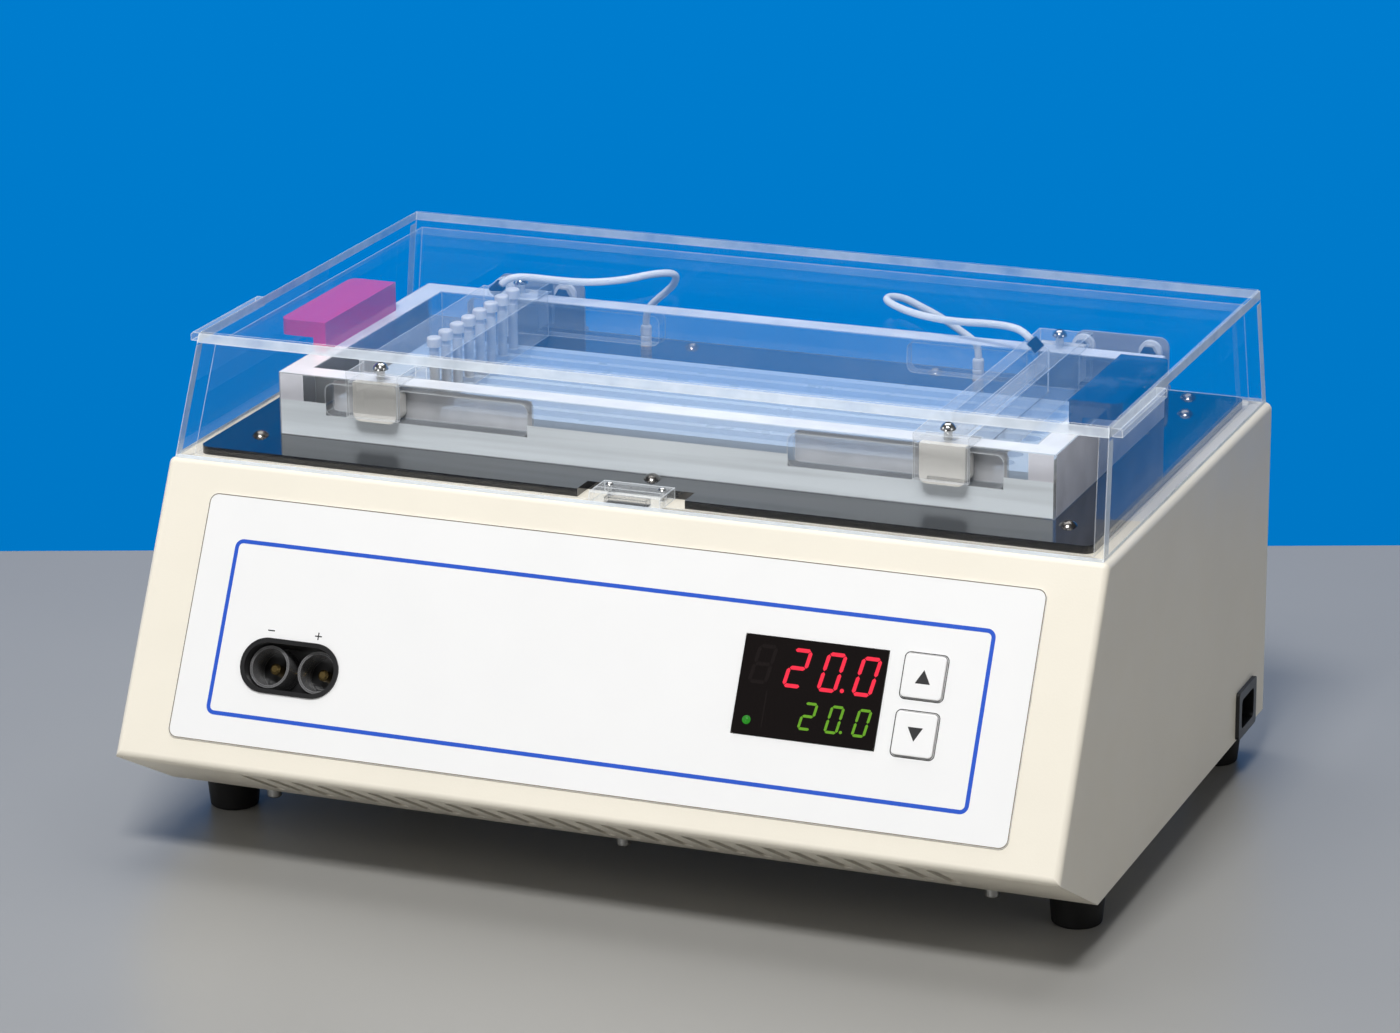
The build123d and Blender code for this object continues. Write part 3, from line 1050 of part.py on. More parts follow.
# Finger grips: a narrow bar on each side of the lid, near its front and just under its top
GRIP_TOP = LID_HEIGHT - GRIP_DROP
GRIP_WALL_X = LID_WIDTH / 2 - LID_SIDE_LEAN * GRIP_TOP
GRIP_LOW_X = LID_WIDTH / 2 - LID_SIDE_LEAN * (GRIP_TOP - GRIP_HEIGHT)
with BuildPart() as lid_grips:
    with BuildSketch(Plane.XZ.offset(-(FRONT_TOP_Y + GRIP_SETBACK))):
        for side in (-1, 1):
            with BuildLine():
                Polyline(
                    (side * GRIP_WALL_X, RIM_Z + GRIP_TOP),
                    (side * (GRIP_WALL_X + GRIP_REACH - GRIP_EDGE), RIM_Z + GRIP_TOP),
                    (side * (GRIP_WALL_X + GRIP_REACH), RIM_Z + GRIP_TOP - GRIP_EDGE),
                    (side * (GRIP_WALL_X + GRIP_REACH), RIM_Z + GRIP_TOP - GRIP_HEIGHT),
                    (side * GRIP_LOW_X, RIM_Z + GRIP_TOP - GRIP_HEIGHT), close=True,
                )
            make_face()
    extrude(amount=-GRIP_LENGTH)
finish(lid_grips.part, "lid_grips")

# Interlock magnet in its clear block at the lid's front edge
BLOCK_Y = FRONT_TOP_Y + BLOCK_SETBACK + BLOCK_DEPTH / 2
BLOCK_SCREW_Y = BLOCK_Y + BLOCK_DEPTH / 4
BLOCK_SCREW_SPOTS = [(-BLOCK_SCREW_X, BLOCK_SCREW_Y), (BLOCK_SCREW_X, BLOCK_SCREW_Y)]
with BuildPart() as magnet_block:
    with BuildSketch(Plane.XY.offset(RIM_Z + FIT_GAP)):
        with Locations((0, BLOCK_Y)):
            Rectangle(BLOCK_WIDTH, BLOCK_DEPTH)
    extrude(amount=BLOCK_HEIGHT - FIT_GAP)
    with BuildSketch(Plane.XY.offset(RIM_Z + FIT_GAP)):
        with Locations((0, BLOCK_Y - BLOCK_DEPTH / 2 + MAGNET_DEPTH / 2 + MAGNET_INSET)):
            Rectangle(MAGNET_WIDTH, MAGNET_DEPTH)
    extrude(amount=MAGNET_HEIGHT, mode=Mode.SUBTRACT)
    with BuildSketch(Plane.XY.offset(RIM_Z)):
        with Locations(*BLOCK_SCREW_SPOTS):
            Circle(BLOCK_SCREW_SHANK / 2)
    extrude(amount=BLOCK_HEIGHT, mode=Mode.SUBTRACT)
finish(magnet_block.part, "magnet_block")

with BuildPart() as lid_magnet:
    with BuildSketch(Plane.XY.offset(RIM_Z + FIT_GAP)):
        with Locations((0, BLOCK_Y - BLOCK_DEPTH / 2 + MAGNET_DEPTH / 2 + MAGNET_INSET)):
            Rectangle(MAGNET_WIDTH, MAGNET_DEPTH)
    extrude(amount=MAGNET_HEIGHT)
finish(lid_magnet.part, "lid_magnet")

magnet_screw = dome_screw(
    BLOCK_SCREW_HEAD, BLOCK_SCREW_DOME, BLOCK_SCREW_SHANK, BLOCK_HEIGHT - 2 * FIT_GAP
)
with BuildPart() as magnet_screws:
    with Locations(*[(x, y, RIM_Z + BLOCK_HEIGHT) for x, y in BLOCK_SCREW_SPOTS]):
        add(magnet_screw)
finish(magnet_screws.part, "magnet_screws")

# Two butt hinges: leaves on the lid's back wall and on the rear panel, with pins
KNUCKLE_LENGTH = HINGE_WIDTH / KNUCKLE_COUNT
KNUCKLE_STARTS = [index * KNUCKLE_LENGTH - HINGE_WIDTH / 2 for index in range(KNUCKLE_COUNT)]


def leaf_pair(upward, own_knuckles, other_knuckles):
    """Both hinges' leaves on one side of the pins: upward is 1 for the lid's, -1 for the body's."""
    leaf_z = RIM_Z + upward * (LEAF_HEIGHT + SOFT_GAP) / 2
    with BuildPart() as leaves:
        with BuildSketch(REAR_PLANE):
            with Locations(*[(side * HINGE_X, leaf_z) for side in (-1, 1)]):
                Rectangle(HINGE_WIDTH, LEAF_HEIGHT - SOFT_GAP)
        extrude(amount=LEAF_THICK)
        far_corners = leaves.edges().filter_by(Axis.Y).group_by(Axis.Z)[-1 if upward == 1 else 0]
        fillet(far_corners, radius=LEAF_CORNER)
        for starts, mode, grow in (
            (other_knuckles, Mode.SUBTRACT, KNUCKLE_GAP), (own_knuckles, Mode.ADD, -KNUCKLE_GAP / 2),
        ):
            for start in starts:
                for side in (-1, 1):
                    with BuildSketch(Plane.YZ.offset(side * HINGE_X + start - grow)):
                        with Locations((HINGE_Y, RIM_Z)):
                            Circle(KNUCKLE_DIAMETER / 2 + max(grow, 0))
                    extrude(amount=KNUCKLE_LENGTH + 2 * grow, mode=mode)
        with BuildSketch(Plane.YZ.offset(-BODY_WIDTH / 2)):
            with Locations((HINGE_Y, RIM_Z)):
                Circle(HINGE_PIN_DIAMETER / 2 + PIN_RUNNING_GAP)
        extrude(amount=BODY_WIDTH, mode=Mode.SUBTRACT)
        with BuildSketch(REAR_PLANE):
            with Locations(*[(x, RIM_Z + upward * LEAF_SCREW_UP) for x in LEAF_SCREW_ROWS]):
                Circle(LEAF_SCREW_SHANK / 2 + CLAMP_RUNNING_GAP)
        extrude(amount=LEAF_THICK, mode=Mode.SUBTRACT)
    return leaves.part


finish(leaf_pair(1, KNUCKLE_STARTS[1::2], KNUCKLE_STARTS[0::2]), "lid_leaves")
finish(leaf_pair(-1, KNUCKLE_STARTS[0::2], KNUCKLE_STARTS[1::2]), "body_leaves")

with BuildPart() as hinge_pins:
    for side in (-1, 1):
        with BuildSketch(Plane.YZ.offset(side * HINGE_X - HINGE_WIDTH / 2)):
            with Locations((HINGE_Y, RIM_Z)):
                Circle(HINGE_PIN_DIAMETER / 2)
        extrude(amount=HINGE_WIDTH)
finish(hinge_pins.part, "hinge_pins")

# Screws behind: four through each side of the hinges, four for the fan, two for the panel's foot
LID_SCREW_PLANES = [
    Plane(origin=(x, BACK_Y + LEAF_THICK, z), x_dir=(1, 0, 0), z_dir=(0, 1, 0))
    for x, z in LID_SCREW_SPOTS
]
LID_SCREW_LENGTH = LEAF_THICK + LID_WALL + NUT_WASHER + NUT_THICK
lid_screw = dome_screw(LEAF_SCREW_HEAD, LEAF_SCREW_DOME, LEAF_SCREW_SHANK, LID_SCREW_LENGTH)
with BuildPart() as lid_screws:
    for screw_plane in LID_SCREW_PLANES:
        with Locations(screw_plane):
            add(lid_screw)
        with BuildSketch(screw_plane.offset(-LEAF_THICK - LID_WALL - NUT_WASHER)):
            RegularPolygon(NUT_WIDTH / sqrt(3), 6)
        extrude(amount=-NUT_THICK)
finish(lid_screws.part, "lid_screws")

REAR_SCREW_SPOTS = (
    [(x, BACK_Y + LEAF_THICK, z) for x, z in LEAF_SCREW_SPOTS]
    + [(x, BACK_Y + GUARD_THICK, z) for x, z in FAN_SCREW_SPOTS]
    + [(x, BACK_Y, PANEL_SCREW_Z) for x in (-PANEL_SCREW_X, PANEL_SCREW_X)]
)
rear_screw = dome_screw(LEAF_SCREW_HEAD, LEAF_SCREW_DOME, SCREW_SHANK, REAR_SCREW_LENGTH)
with BuildPart() as rear_screws:
    for spot in REAR_SCREW_SPOTS:
        with Locations(Plane(origin=spot, x_dir=(1, 0, 0), z_dir=(0, 1, 0))):
            add(rear_screw)
finish(rear_screws.part, "rear_screws")

# Fan behind the heat sink: frame with its bearing, rotor, and a flat guard outside the panel
FAN_FRONT_Y = BACK_Y - SHEET - FAN_THICK
FAN_PLANE = Plane(origin=(0, FAN_FRONT_Y, FAN_Z), x_dir=(1, 0, 0), z_dir=(0, 1, 0))
with BuildPart() as fan_frame:
    with BuildSketch(FAN_PLANE):
        RectangleRounded(FAN_SIZE, FAN_SIZE, FAN_CORNER)
        Circle(FAN_BORE / 2, mode=Mode.SUBTRACT)
        with GridLocations(FAN_SCREW_PITCH, FAN_SCREW_PITCH, 2, 2):
            Circle(SCREW_SHANK / 2 + CLAMP_RUNNING_GAP, mode=Mode.SUBTRACT)
    extrude(amount=FAN_THICK)
    with BuildSketch(FAN_PLANE):
        Circle(FAN_HUB / 2)
        Rectangle(FAN_BORE + FAN_ROOT, FAN_STRUT)
        Rectangle(FAN_STRUT, FAN_BORE + FAN_ROOT)
        Circle(FAN_SHAFT / 2 + PIN_RUNNING_GAP, mode=Mode.SUBTRACT)
    extrude(amount=FAN_BASE)
finish(fan_frame.part, "fan_frame")

FAN_TIP_RADIUS = FAN_BORE / 2 - FAN_BLADE_GAP
BLADE_CHORD = FAN_THICK - FAN_BASE - 2 * FAN_BLADE_GAP
BLADE_ROOT = FAN_HUB / 2 - FAN_ROOT
with BuildPart() as fan_rotor:
    with BuildSketch(FAN_PLANE.offset(FAN_BASE + 2 * SOFT_GAP)):
        Circle(FAN_HUB / 2)
    extrude(amount=FAN_THICK - FAN_BASE - FAN_BLADE_GAP)
    fillet(fan_rotor.edges().group_by(Axis.Y)[-1], radius=FAN_HUB_EDGE)
    with BuildSketch(FAN_PLANE.offset(SOFT_GAP)):
        Circle(FAN_SHAFT / 2)
    extrude(amount=FAN_BASE + SOFT_GAP)
    for blade in range(FAN_BLADES):
        angle = 2 * pi * blade / FAN_BLADES
        blade_plane = Plane(
            origin=(
                BLADE_ROOT * cos(angle), FAN_FRONT_Y + FAN_BASE + FAN_BLADE_GAP + BLADE_CHORD / 2,
                FAN_Z + BLADE_ROOT * sin(angle),
            ),
            x_dir=(0, 1, 0), z_dir=(cos(angle), 0, sin(angle)),
        )
        with BuildSketch(blade_plane):
            Rectangle(BLADE_CHORD, FAN_BLADE_THICK, rotation=FAN_BLADE_PITCH)
        extrude(amount=FAN_TIP_RADIUS - FAN_HUB / 2)
finish(fan_rotor.part, "fan_rotor")

with BuildPart() as fan_guard:
    with BuildSketch(Plane(origin=(0, BACK_Y, FAN_Z), x_dir=(1, 0, 0), z_dir=(0, 1, 0))):
        for ring in range(1, GUARD_RINGS + 1):
            with BuildSketch(mode=Mode.PRIVATE) as ring_face:
                Circle(ring * GUARD_RING_STEP + GUARD_WIRE / 2)
                Circle(ring * GUARD_RING_STEP - GUARD_WIRE / 2, mode=Mode.SUBTRACT)
            add(ring_face.sketch)
        Rectangle(FAN_SCREW_PITCH * sqrt(2), GUARD_ARM, rotation=45)
        Rectangle(FAN_SCREW_PITCH * sqrt(2), GUARD_ARM, rotation=-45)
        Circle(GUARD_HUB / 2)
        with GridLocations(FAN_SCREW_PITCH, FAN_SCREW_PITCH, 2, 2):
            Circle(LEAF_SCREW_HEAD / 2)
        with GridLocations(FAN_SCREW_PITCH, FAN_SCREW_PITCH, 2, 2):
            Circle(SCREW_SHANK / 2 + CLAMP_RUNNING_GAP, mode=Mode.SUBTRACT)
    extrude(amount=GUARD_THICK)
finish(fan_guard.part, "fan_guard")

# Power switch on the rear panel: bezel with a well, and its rocker
SWITCH_Z = RIM_Z - SWITCH_DROP
SWITCH_PLANE = Plane(origin=(SWITCH_X, BACK_Y, SWITCH_Z), x_dir=(0, 0, 1), z_dir=(0, 1, 0))
SWITCH_WELL_LENGTH = SWITCH_HEIGHT - 2 * SWITCH_WALL
SWITCH_WELL_WIDTH = SWITCH_WIDTH - 2 * SWITCH_WALL
with BuildPart() as switch_frame:
    with BuildSketch(SWITCH_PLANE):
        RectangleRounded(SWITCH_HEIGHT, SWITCH_WIDTH, SWITCH_CORNER)
    extrude(amount=SWITCH_FLANGE)
    with BuildSketch(SWITCH_PLANE):
        Rectangle(SWITCH_BODY_HEIGHT - FIT_GAP, SWITCH_BODY_WIDTH - FIT_GAP)
    extrude(amount=-SWITCH_DEPTH)
    with BuildSketch(SWITCH_PLANE.offset(SWITCH_FLANGE)):
        Rectangle(SWITCH_WELL_LENGTH, SWITCH_WELL_WIDTH)
    extrude(amount=-SWITCH_FLANGE - ROCKER_WELL, mode=Mode.SUBTRACT)
finish(switch_frame.part, "switch_frame")

ROCKER_HALF = SWITCH_WELL_LENGTH / 2 - ROCKER_SIDE_GAP
ROCKER_WIDTH = SWITCH_WELL_WIDTH - 2 * SOFT_GAP
ROCKER_AXIS_Y = BACK_Y - ROCKER_PIVOT
ROCKER_PLANE = Plane(
    origin=(SWITCH_X - ROCKER_WIDTH / 2, ROCKER_AXIS_Y, SWITCH_Z),
    x_dir=(0, cos(radians(ROCKER_TILT)), sin(radians(ROCKER_TILT))), z_dir=(1, 0, 0),
)
with BuildPart() as rocker:
    with BuildSketch(ROCKER_PLANE):
        with BuildLine():
            Polyline(
                (-ROCKER_BACK, -ROCKER_HALF / 2), (ROCKER_EDGE, -ROCKER_HALF), (ROCKER_MIDDLE, 0),
                (ROCKER_EDGE, ROCKER_HALF), (-ROCKER_BACK, ROCKER_HALF / 2), close=True,
            )
        make_face()
    extrude(amount=ROCKER_WIDTH)
finish(rocker.part, "rocker")

# Power inlet low on the right side, near the back
INLET_PLANE = Plane(
    origin=(BODY_WIDTH / 2, FRONT_TOP_Y + INLET_SETBACK, RIM_Z - INLET_DROP),
    x_dir=(0, 1, 0), z_dir=(1, 0, 0),
)
with BuildPart() as power_inlet:
    with BuildSketch(INLET_PLANE):
        RectangleRounded(INLET_WIDTH, INLET_HEIGHT, INLET_CORNER)
    extrude(amount=INLET_FLANGE)
    with BuildSketch(INLET_PLANE):
        Rectangle(INLET_BODY_WIDTH, INLET_BODY_HEIGHT)
    extrude(amount=-INLET_DEPTH)
    with BuildSketch(INLET_PLANE.offset(INLET_FLANGE)):
        RectangleRounded(
            INLET_BODY_WIDTH - INLET_WALL, INLET_BODY_HEIGHT - INLET_WALL, INLET_CAVITY_CORNER
        )
    extrude(amount=-INLET_CAVITY, mode=Mode.SUBTRACT)
    with BuildSketch(INLET_PLANE.offset(INLET_FLANGE - INLET_CAVITY)):
        with GridLocations(INLET_BLADE_PITCH, 1.0, 3, 1):
            Rectangle(INLET_BLADE_THICK, INLET_BLADE_HEIGHT)
    extrude(amount=INLET_CAVITY - INLET_BLADE_INSET)
finish(power_inlet.part, "power_inlet")

# Feet and the screws underneath
FOOT_TAPER = degrees(atan2((FOOT_TOP_DIAMETER - FOOT_BOTTOM_DIAMETER) / 2, FOOT_HEIGHT))
with BuildPart() as feet:
    with BuildSketch(Plane.XY.offset(FOOT_HEIGHT)):
        with Locations(*FOOT_SPOTS):
            Circle(FOOT_TOP_DIAMETER / 2)
    extrude(amount=-FOOT_HEIGHT, taper=FOOT_TAPER)
    fillet(feet.edges().group_by(Axis.Z)[0], radius=FOOT_EDGE)
    with BuildSketch(Plane.XY):
        with Locations(*FOOT_SPOTS):
            Circle(FOOT_RECESS_DIAMETER / 2)
    extrude(amount=FOOT_RECESS_DEPTH, mode=Mode.SUBTRACT)
    with BuildSketch(Plane.XY):
        with Locations(*FOOT_SPOTS):
            Circle(SCREW_SHANK / 2 + CLAMP_RUNNING_GAP)
    extrude(amount=FOOT_HEIGHT, mode=Mode.SUBTRACT)
finish(feet.part, "feet")

foot_screw = washer_screw(FOOT_HEIGHT - FOOT_RECESS_DEPTH + SHEET)
edge_screw = washer_screw(SCREW_LENGTH)
with BuildPart() as bottom_screws:
    with Locations(*[(x, y, FOOT_RECESS_DEPTH) for x, y in FOOT_SPOTS]):
        add(foot_screw)
    with Locations(*[(x, EDGE_SCREW_Y, FOOT_HEIGHT) for x in EDGE_SCREW_SPOTS]):
        add(edge_screw)
finish(bottom_screws.part, "bottom_screws")

# Power supply, control board and lid switch inside
FLOOR_Z = FOOT_HEIGHT + SHEET
with BuildPart() as power_supply:
    with BuildSketch(Plane.XY.offset(FLOOR_Z)):
        with Locations((SUPPLY_X, FRONT_TOP_Y + SUPPLY_SETBACK + SUPPLY_DEPTH / 2)):
            Rectangle(SUPPLY_WIDTH, SUPPLY_DEPTH)
    extrude(amount=SUPPLY_HEIGHT)
    with BuildSketch(Plane.XY.offset(FLOOR_Z + SUPPLY_HEIGHT)):
        with Locations((SUPPLY_X, FRONT_TOP_Y + SUPPLY_SETBACK + SUPPLY_DEPTH / 2)):
            with GridLocations(1.0, SUPPLY_VENT_PITCH, 1, SUPPLY_VENTS):
                SlotOverall(SUPPLY_WIDTH / 2, SUPPLY_VENT_WIDTH)
    extrude(amount=-SHEET, mode=Mode.SUBTRACT)
finish(power_supply.part, "power_supply")

BOARD_Y = FRONT_TOP_Y + CONTROL_SETBACK + CONTROL_DEPTH / 2
CONTROL_POST_X = CONTROL_WIDTH - 2 * POST_DIAMETER
CONTROL_POST_Y = CONTROL_DEPTH - 2 * POST_DIAMETER
with BuildPart() as control_board:
    with BuildSketch(Plane.XY.offset(FLOOR_Z + CONTROL_STAND)):
        with Locations((CONTROL_X, BOARD_Y)):
            Rectangle(CONTROL_WIDTH, CONTROL_DEPTH)
    extrude(amount=BOARD_THICK)
    with BuildSketch(Plane.XY.offset(FLOOR_Z)):
        with Locations((CONTROL_X, BOARD_Y)):
            with GridLocations(CONTROL_POST_X, CONTROL_POST_Y, 2, 2):
                Circle(POST_DIAMETER / 2)
    extrude(amount=CONTROL_STAND)
    with BuildSketch(Plane.XY.offset(FLOOR_Z + CONTROL_STAND + BOARD_THICK)):
        with Locations((CONTROL_X - CONTROL_WIDTH / 4, BOARD_Y)):
            Rectangle(CONTROL_WIDTH / 3, CONTROL_DEPTH / 2)
        with Locations((CONTROL_X + CONTROL_WIDTH / 4, BOARD_Y)):
            with GridLocations(CONTROL_WIDTH / 6, CONTROL_DEPTH / 4, 2, 3):
                Circle(CONTROL_WIDTH / 18)
    extrude(amount=CONTROL_PARTS)
finish(control_board.part, "control_board")

with BuildPart() as reed_switch:
    with BuildSketch(Plane.XY.offset(RIM_Z - SHEET)):
        with Locations((0, BLOCK_Y)):
            Rectangle(REED_WIDTH, REED_DEPTH)
    extrude(amount=-REED_THICK)
finish(reed_switch.part, "reed_switch")

# Travels that the joints take from the model
print("bar travel inward", round(BAR_X - SLIDER_WIDTH / 2 - POCKET_INNER_X, 2))
print("bar travel outward", round(POCKET_OUTER_X - BAR_X - SLIDER_WIDTH / 2, 2))
print("hinge axis y z", HINGE_Y, RIM_Z)
print("fan axis z", FAN_Z, "rocker axis y", ROCKER_AXIS_Y, "z", SWITCH_Z)
print("panel normal", 0, -round(cos(FRONT_TILT), 6), round(sin(FRONT_TILT), 6))
print("clamp spots", {name: round(y, 2) for name, y in CLAMP_SPOTS_Y.items()})
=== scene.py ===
"""Looks for the isoelectric focusing unit: finishes, printed panel, display, leads and studio."""

from __future__ import annotations

import json
import logging
import math
from dataclasses import dataclass, field
from enum import Enum
from typing import Any, ClassVar, Iterable, Sequence

import bmesh
import bpy
from mathutils import Euler, Matrix, Vector

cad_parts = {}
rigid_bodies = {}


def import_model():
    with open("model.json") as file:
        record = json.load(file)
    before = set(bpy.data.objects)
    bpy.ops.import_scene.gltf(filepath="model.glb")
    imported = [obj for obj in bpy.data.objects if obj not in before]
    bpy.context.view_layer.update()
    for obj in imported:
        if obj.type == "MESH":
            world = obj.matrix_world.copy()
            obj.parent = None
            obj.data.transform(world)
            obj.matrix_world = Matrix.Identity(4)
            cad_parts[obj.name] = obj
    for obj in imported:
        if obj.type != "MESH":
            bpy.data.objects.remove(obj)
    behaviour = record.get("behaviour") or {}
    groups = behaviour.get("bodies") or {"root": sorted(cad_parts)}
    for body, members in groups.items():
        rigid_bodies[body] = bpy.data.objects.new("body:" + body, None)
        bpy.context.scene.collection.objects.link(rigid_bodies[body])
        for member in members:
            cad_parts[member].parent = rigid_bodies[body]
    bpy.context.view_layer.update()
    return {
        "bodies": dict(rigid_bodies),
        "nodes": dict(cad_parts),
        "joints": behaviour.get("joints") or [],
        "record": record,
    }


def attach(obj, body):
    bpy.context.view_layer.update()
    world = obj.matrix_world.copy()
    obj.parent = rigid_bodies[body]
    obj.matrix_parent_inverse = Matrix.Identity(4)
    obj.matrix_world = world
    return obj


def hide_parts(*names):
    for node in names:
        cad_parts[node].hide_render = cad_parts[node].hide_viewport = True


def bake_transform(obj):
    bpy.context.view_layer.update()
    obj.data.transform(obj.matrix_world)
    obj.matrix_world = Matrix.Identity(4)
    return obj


LOG = logging.getLogger("focusing_unit")
MM = 0.001
Node = bpy.types.Node
Colour = tuple[float, float, float]
Point = tuple[float, float, float]
Pair = tuple[float, float]


class Body(Enum):
    """Moving groups that pieces ride on."""

    BASE = "base"
    LID = "lid"
    LEFT_BAR = "left_electrode"
    RIGHT_BAR = "right_electrode"
    KEY_UP = "key_up"
    KEY_DOWN = "key_down"


class Effect(Enum):
    """Shared shading effects, each a node group that puts out one mask, value or normal."""

    GRAIN = "GrainEffect"
    MOTTLE = "MottleEffect"
    BRUSHED = "BrushedEffect"
    EDGE = "EdgeEffect"
    STREAK = "StreakEffect"


class Wiring:
    """A node tree, with short calls to add and join nodes."""

    def __init__(self, tree: bpy.types.NodeTree) -> None:
        """Work on the given tree."""
        self.tree = tree

    def feed(self, value: Any, target: Any) -> None:
        """Set an input, or join an output to it.

        Args:
            value: The value or the output socket.
            target: The input socket.
        """
        if isinstance(value, bpy.types.NodeSocket):
            self.tree.links.new(value, target)
        else:
            target.default_value = value

    def fill(self, node: Node, **values: Any) -> Node:
        """Feed a node's inputs.

        Args:
            node: The node.
            values: Input names, with _ for a space, and what feeds each.

        Returns:
            The node.
        """
        for label, value in values.items():
            self.feed(value, node.inputs[label.replace("_", " ")])
        return node

    def node(self, kind: str, **values: Any) -> Node:
        """Add a node of a kind (its type without ShaderNode) and feed it as fill does."""
        return self.fill(self.tree.nodes.new(f"ShaderNode{kind}"), **values)

    def reckon(self, kind: str, operation: str, *values: Any) -> Node:
        """Add a node that calculates.

        Args:
            kind: Math or VectorMath.
            operation: What it does.
            values: What feeds its inputs, in order.

        Returns:
            The node.
        """
        node = self.node(kind)
        node.operation = operation
        for value, target in zip(values, node.inputs):
            self.feed(value, target)
        return node

    def math(self, operation: str, *values: Any, clamp: bool = False) -> Any:
        """Calculate a number.

        Args:
            operation: What is done.
            values: Numbers or sockets, in order.
            clamp: Whether the result is kept from 0 to 1.

        Returns:
            The result's socket.
        """
        node = self.reckon("Math", operation, *values)
        node.use_clamp = clamp
        return node.outputs["Value"]

    def blend(self, share: Any, first: Any, second: Any) -> Any:
        """Mix two colours.

        Args:
            share: The second colour's share.
            first: The first colour.
            second: The second colour.

        Returns:
            The mixed colour's socket.
        """
        mix = self.node("Mix")
        mix.data_type = "RGBA"
        for number, value in ((0, share), (6, first), (7, second)):
            self.feed(value, mix.inputs[number])
        return mix.outputs[2]


class Group(Wiring):
    """A shared node group while it is built."""

    def __init__(self, name: str) -> None:
        """Make an empty group of the given name."""
        super().__init__(bpy.data.node_groups.new(name, "ShaderNodeTree"))

    def socket(self, label: str, side: str, kind: str) -> Any:
        """Give the group's face a socket: its name, INPUT or OUTPUT, and its type."""
        return self.tree.interface.new_socket(label, in_out=side, socket_type=kind)

    def takes(self, **inputs: float) -> list[Any]:
        """Give the group its inputs.

        Args:
            inputs: Each input with its default.

        Returns:
            Their sockets inside the group.
        """
        for label, default in inputs.items():
            self.socket(label, "INPUT", "NodeSocketFloat").default_value = default
        source = self.tree.nodes.new("NodeGroupInput")
        return [source.outputs[label] for label in inputs]

    def gives(self, label: str, result: Any) -> None:
        """Give the group its output.

        Args:
            label: The output's name.
            result: The socket that it passes on.
        """
        self.socket(label, "OUTPUT", "NodeSocketVector" if result.type == "VECTOR" else "NodeSocketFloat")
        self.feed(result, self.tree.nodes.new("NodeGroupOutput").inputs[label])

    def noise(self, *stretch: Any, **values: Any) -> Any:
        """Add noise in the object's own space.

        Args:
            stretch: Factors for X, Y and Z, or none.
            values: What feeds the noise.

        Returns:
            Its socket, from 0 to 1.
        """
        place = self.node("TexCoord").outputs["Object"]
        if stretch:
            factors = self.node("CombineXYZ", **dict(zip("XYZ", stretch))).outputs["Vector"]
            place = self.reckon("VectorMath", "MULTIPLY", place, factors).outputs["Vector"]
        return self.node("TexNoise", Vector=place, **values).outputs["Fac"]

    def spread(self, value: Any, start: float, stop: float, low: Any, high: Any) -> Any:
        """Map start to stop onto low to high, and return the result's socket."""
        ends = {"From_Min": start, "From_Max": stop, "To_Min": low, "To_Max": high}
        return self.node("MapRange", Value=value, **ends).outputs["Result"]

    def bump(self, height: Any, strength: Any, depth: Any) -> Any:
        """Turn a height into a normal, and return its socket."""
        return self.node("Bump", Height=height, Strength=strength, Distance=depth).outputs["Normal"]


class EffectLibrary:
    """Builds each shared node group once and hands it out by name."""

    def __init__(self) -> None:
        """Start with no group built."""
        self._built: dict[Effect, Group] = {}

    def get(self, effect: Effect) -> bpy.types.NodeTree:
        """Find or build a group.

        Args:
            effect: Which effect.

        Returns:
            The node group.
        """
        if effect not in self._built:
            makers = {
                Effect.GRAIN: self._grain,
                Effect.MOTTLE: self._mottle,
                Effect.BRUSHED: self._brushed,
                Effect.EDGE: self._edge,
                Effect.STREAK: self._streak,
            }
            self._built[effect] = Group(effect.value)
            makers[effect](self._built[effect])
        return self._built[effect].tree

    @staticmethod
    def _grain(group: Group) -> None:
        """Fill a group with the normal of fine relief, as of textured paint or moulded plastic.

        Args:
            group: The group.
        """
        inputs = {"Scale": 1500.0, "Detail": 2.0, "Strength": 0.2, "Depth": 0.0001}
        scale, detail, strength, depth = group.takes(**inputs)
        group.gives("Normal", group.bump(group.noise(Scale=scale, Detail=detail), strength, depth))

    @staticmethod
    def _mottle(group: Group) -> None:
        """Fill a group with a value that varies softly from Low to High.

        Args:
            group: The group.
        """
        scale, low, high = group.takes(Scale=20.0, Low=0.0, High=1.0)
        clouds = group.noise(Scale=scale, Detail=4.0)
        group.gives("Value", group.spread(clouds, start=0.3, stop=0.7, low=low, high=high))

    @staticmethod
    def _brushed(group: Group) -> None:
        """Fill a group with the normal of fine parallel marks of machining.

        Args:
            group: The group.
        """
        stretch, scale, strength = group.takes(Stretch=30.0, Scale=400.0, Strength=0.1)
        marks = group.noise(1.0, stretch, 1.0, Scale=scale)
        group.gives("Normal", group.bump(marks, strength, depth=0.00005))

    @staticmethod
    def _streak(group: Group) -> None:
        """Fill a group with level bands along X that vary with height from Low to High.

        Args:
            group: The group.
        """
        across, along, low, high = group.takes(Across=300.0, Along=10.0, Low=0.0, High=1.0)
        bands = group.noise(along, along, across, Scale=1.0, Detail=1.0)
        group.gives("Value", group.spread(bands, start=0.35, stop=0.6, low=low, high=high))

    @staticmethod
    def _edge(group: Group) -> None:
        """Fill a group with a mask, 0 on a flat face and 1 on a sharp edge.

        Args:
            group: The group.
        """
        radius, gain = group.takes(Radius=0.0006, Gain=6.0)
        soft = group.node("Bevel", Radius=radius)
        soft.samples = 4
        flat = group.node("NewGeometry").outputs["Normal"]
        apart = group.reckon("VectorMath", "DISTANCE", flat, soft.outputs["Normal"])
        group.gives("Value", group.math("MULTIPLY", apart.outputs["Value"], gain, clamp=True))


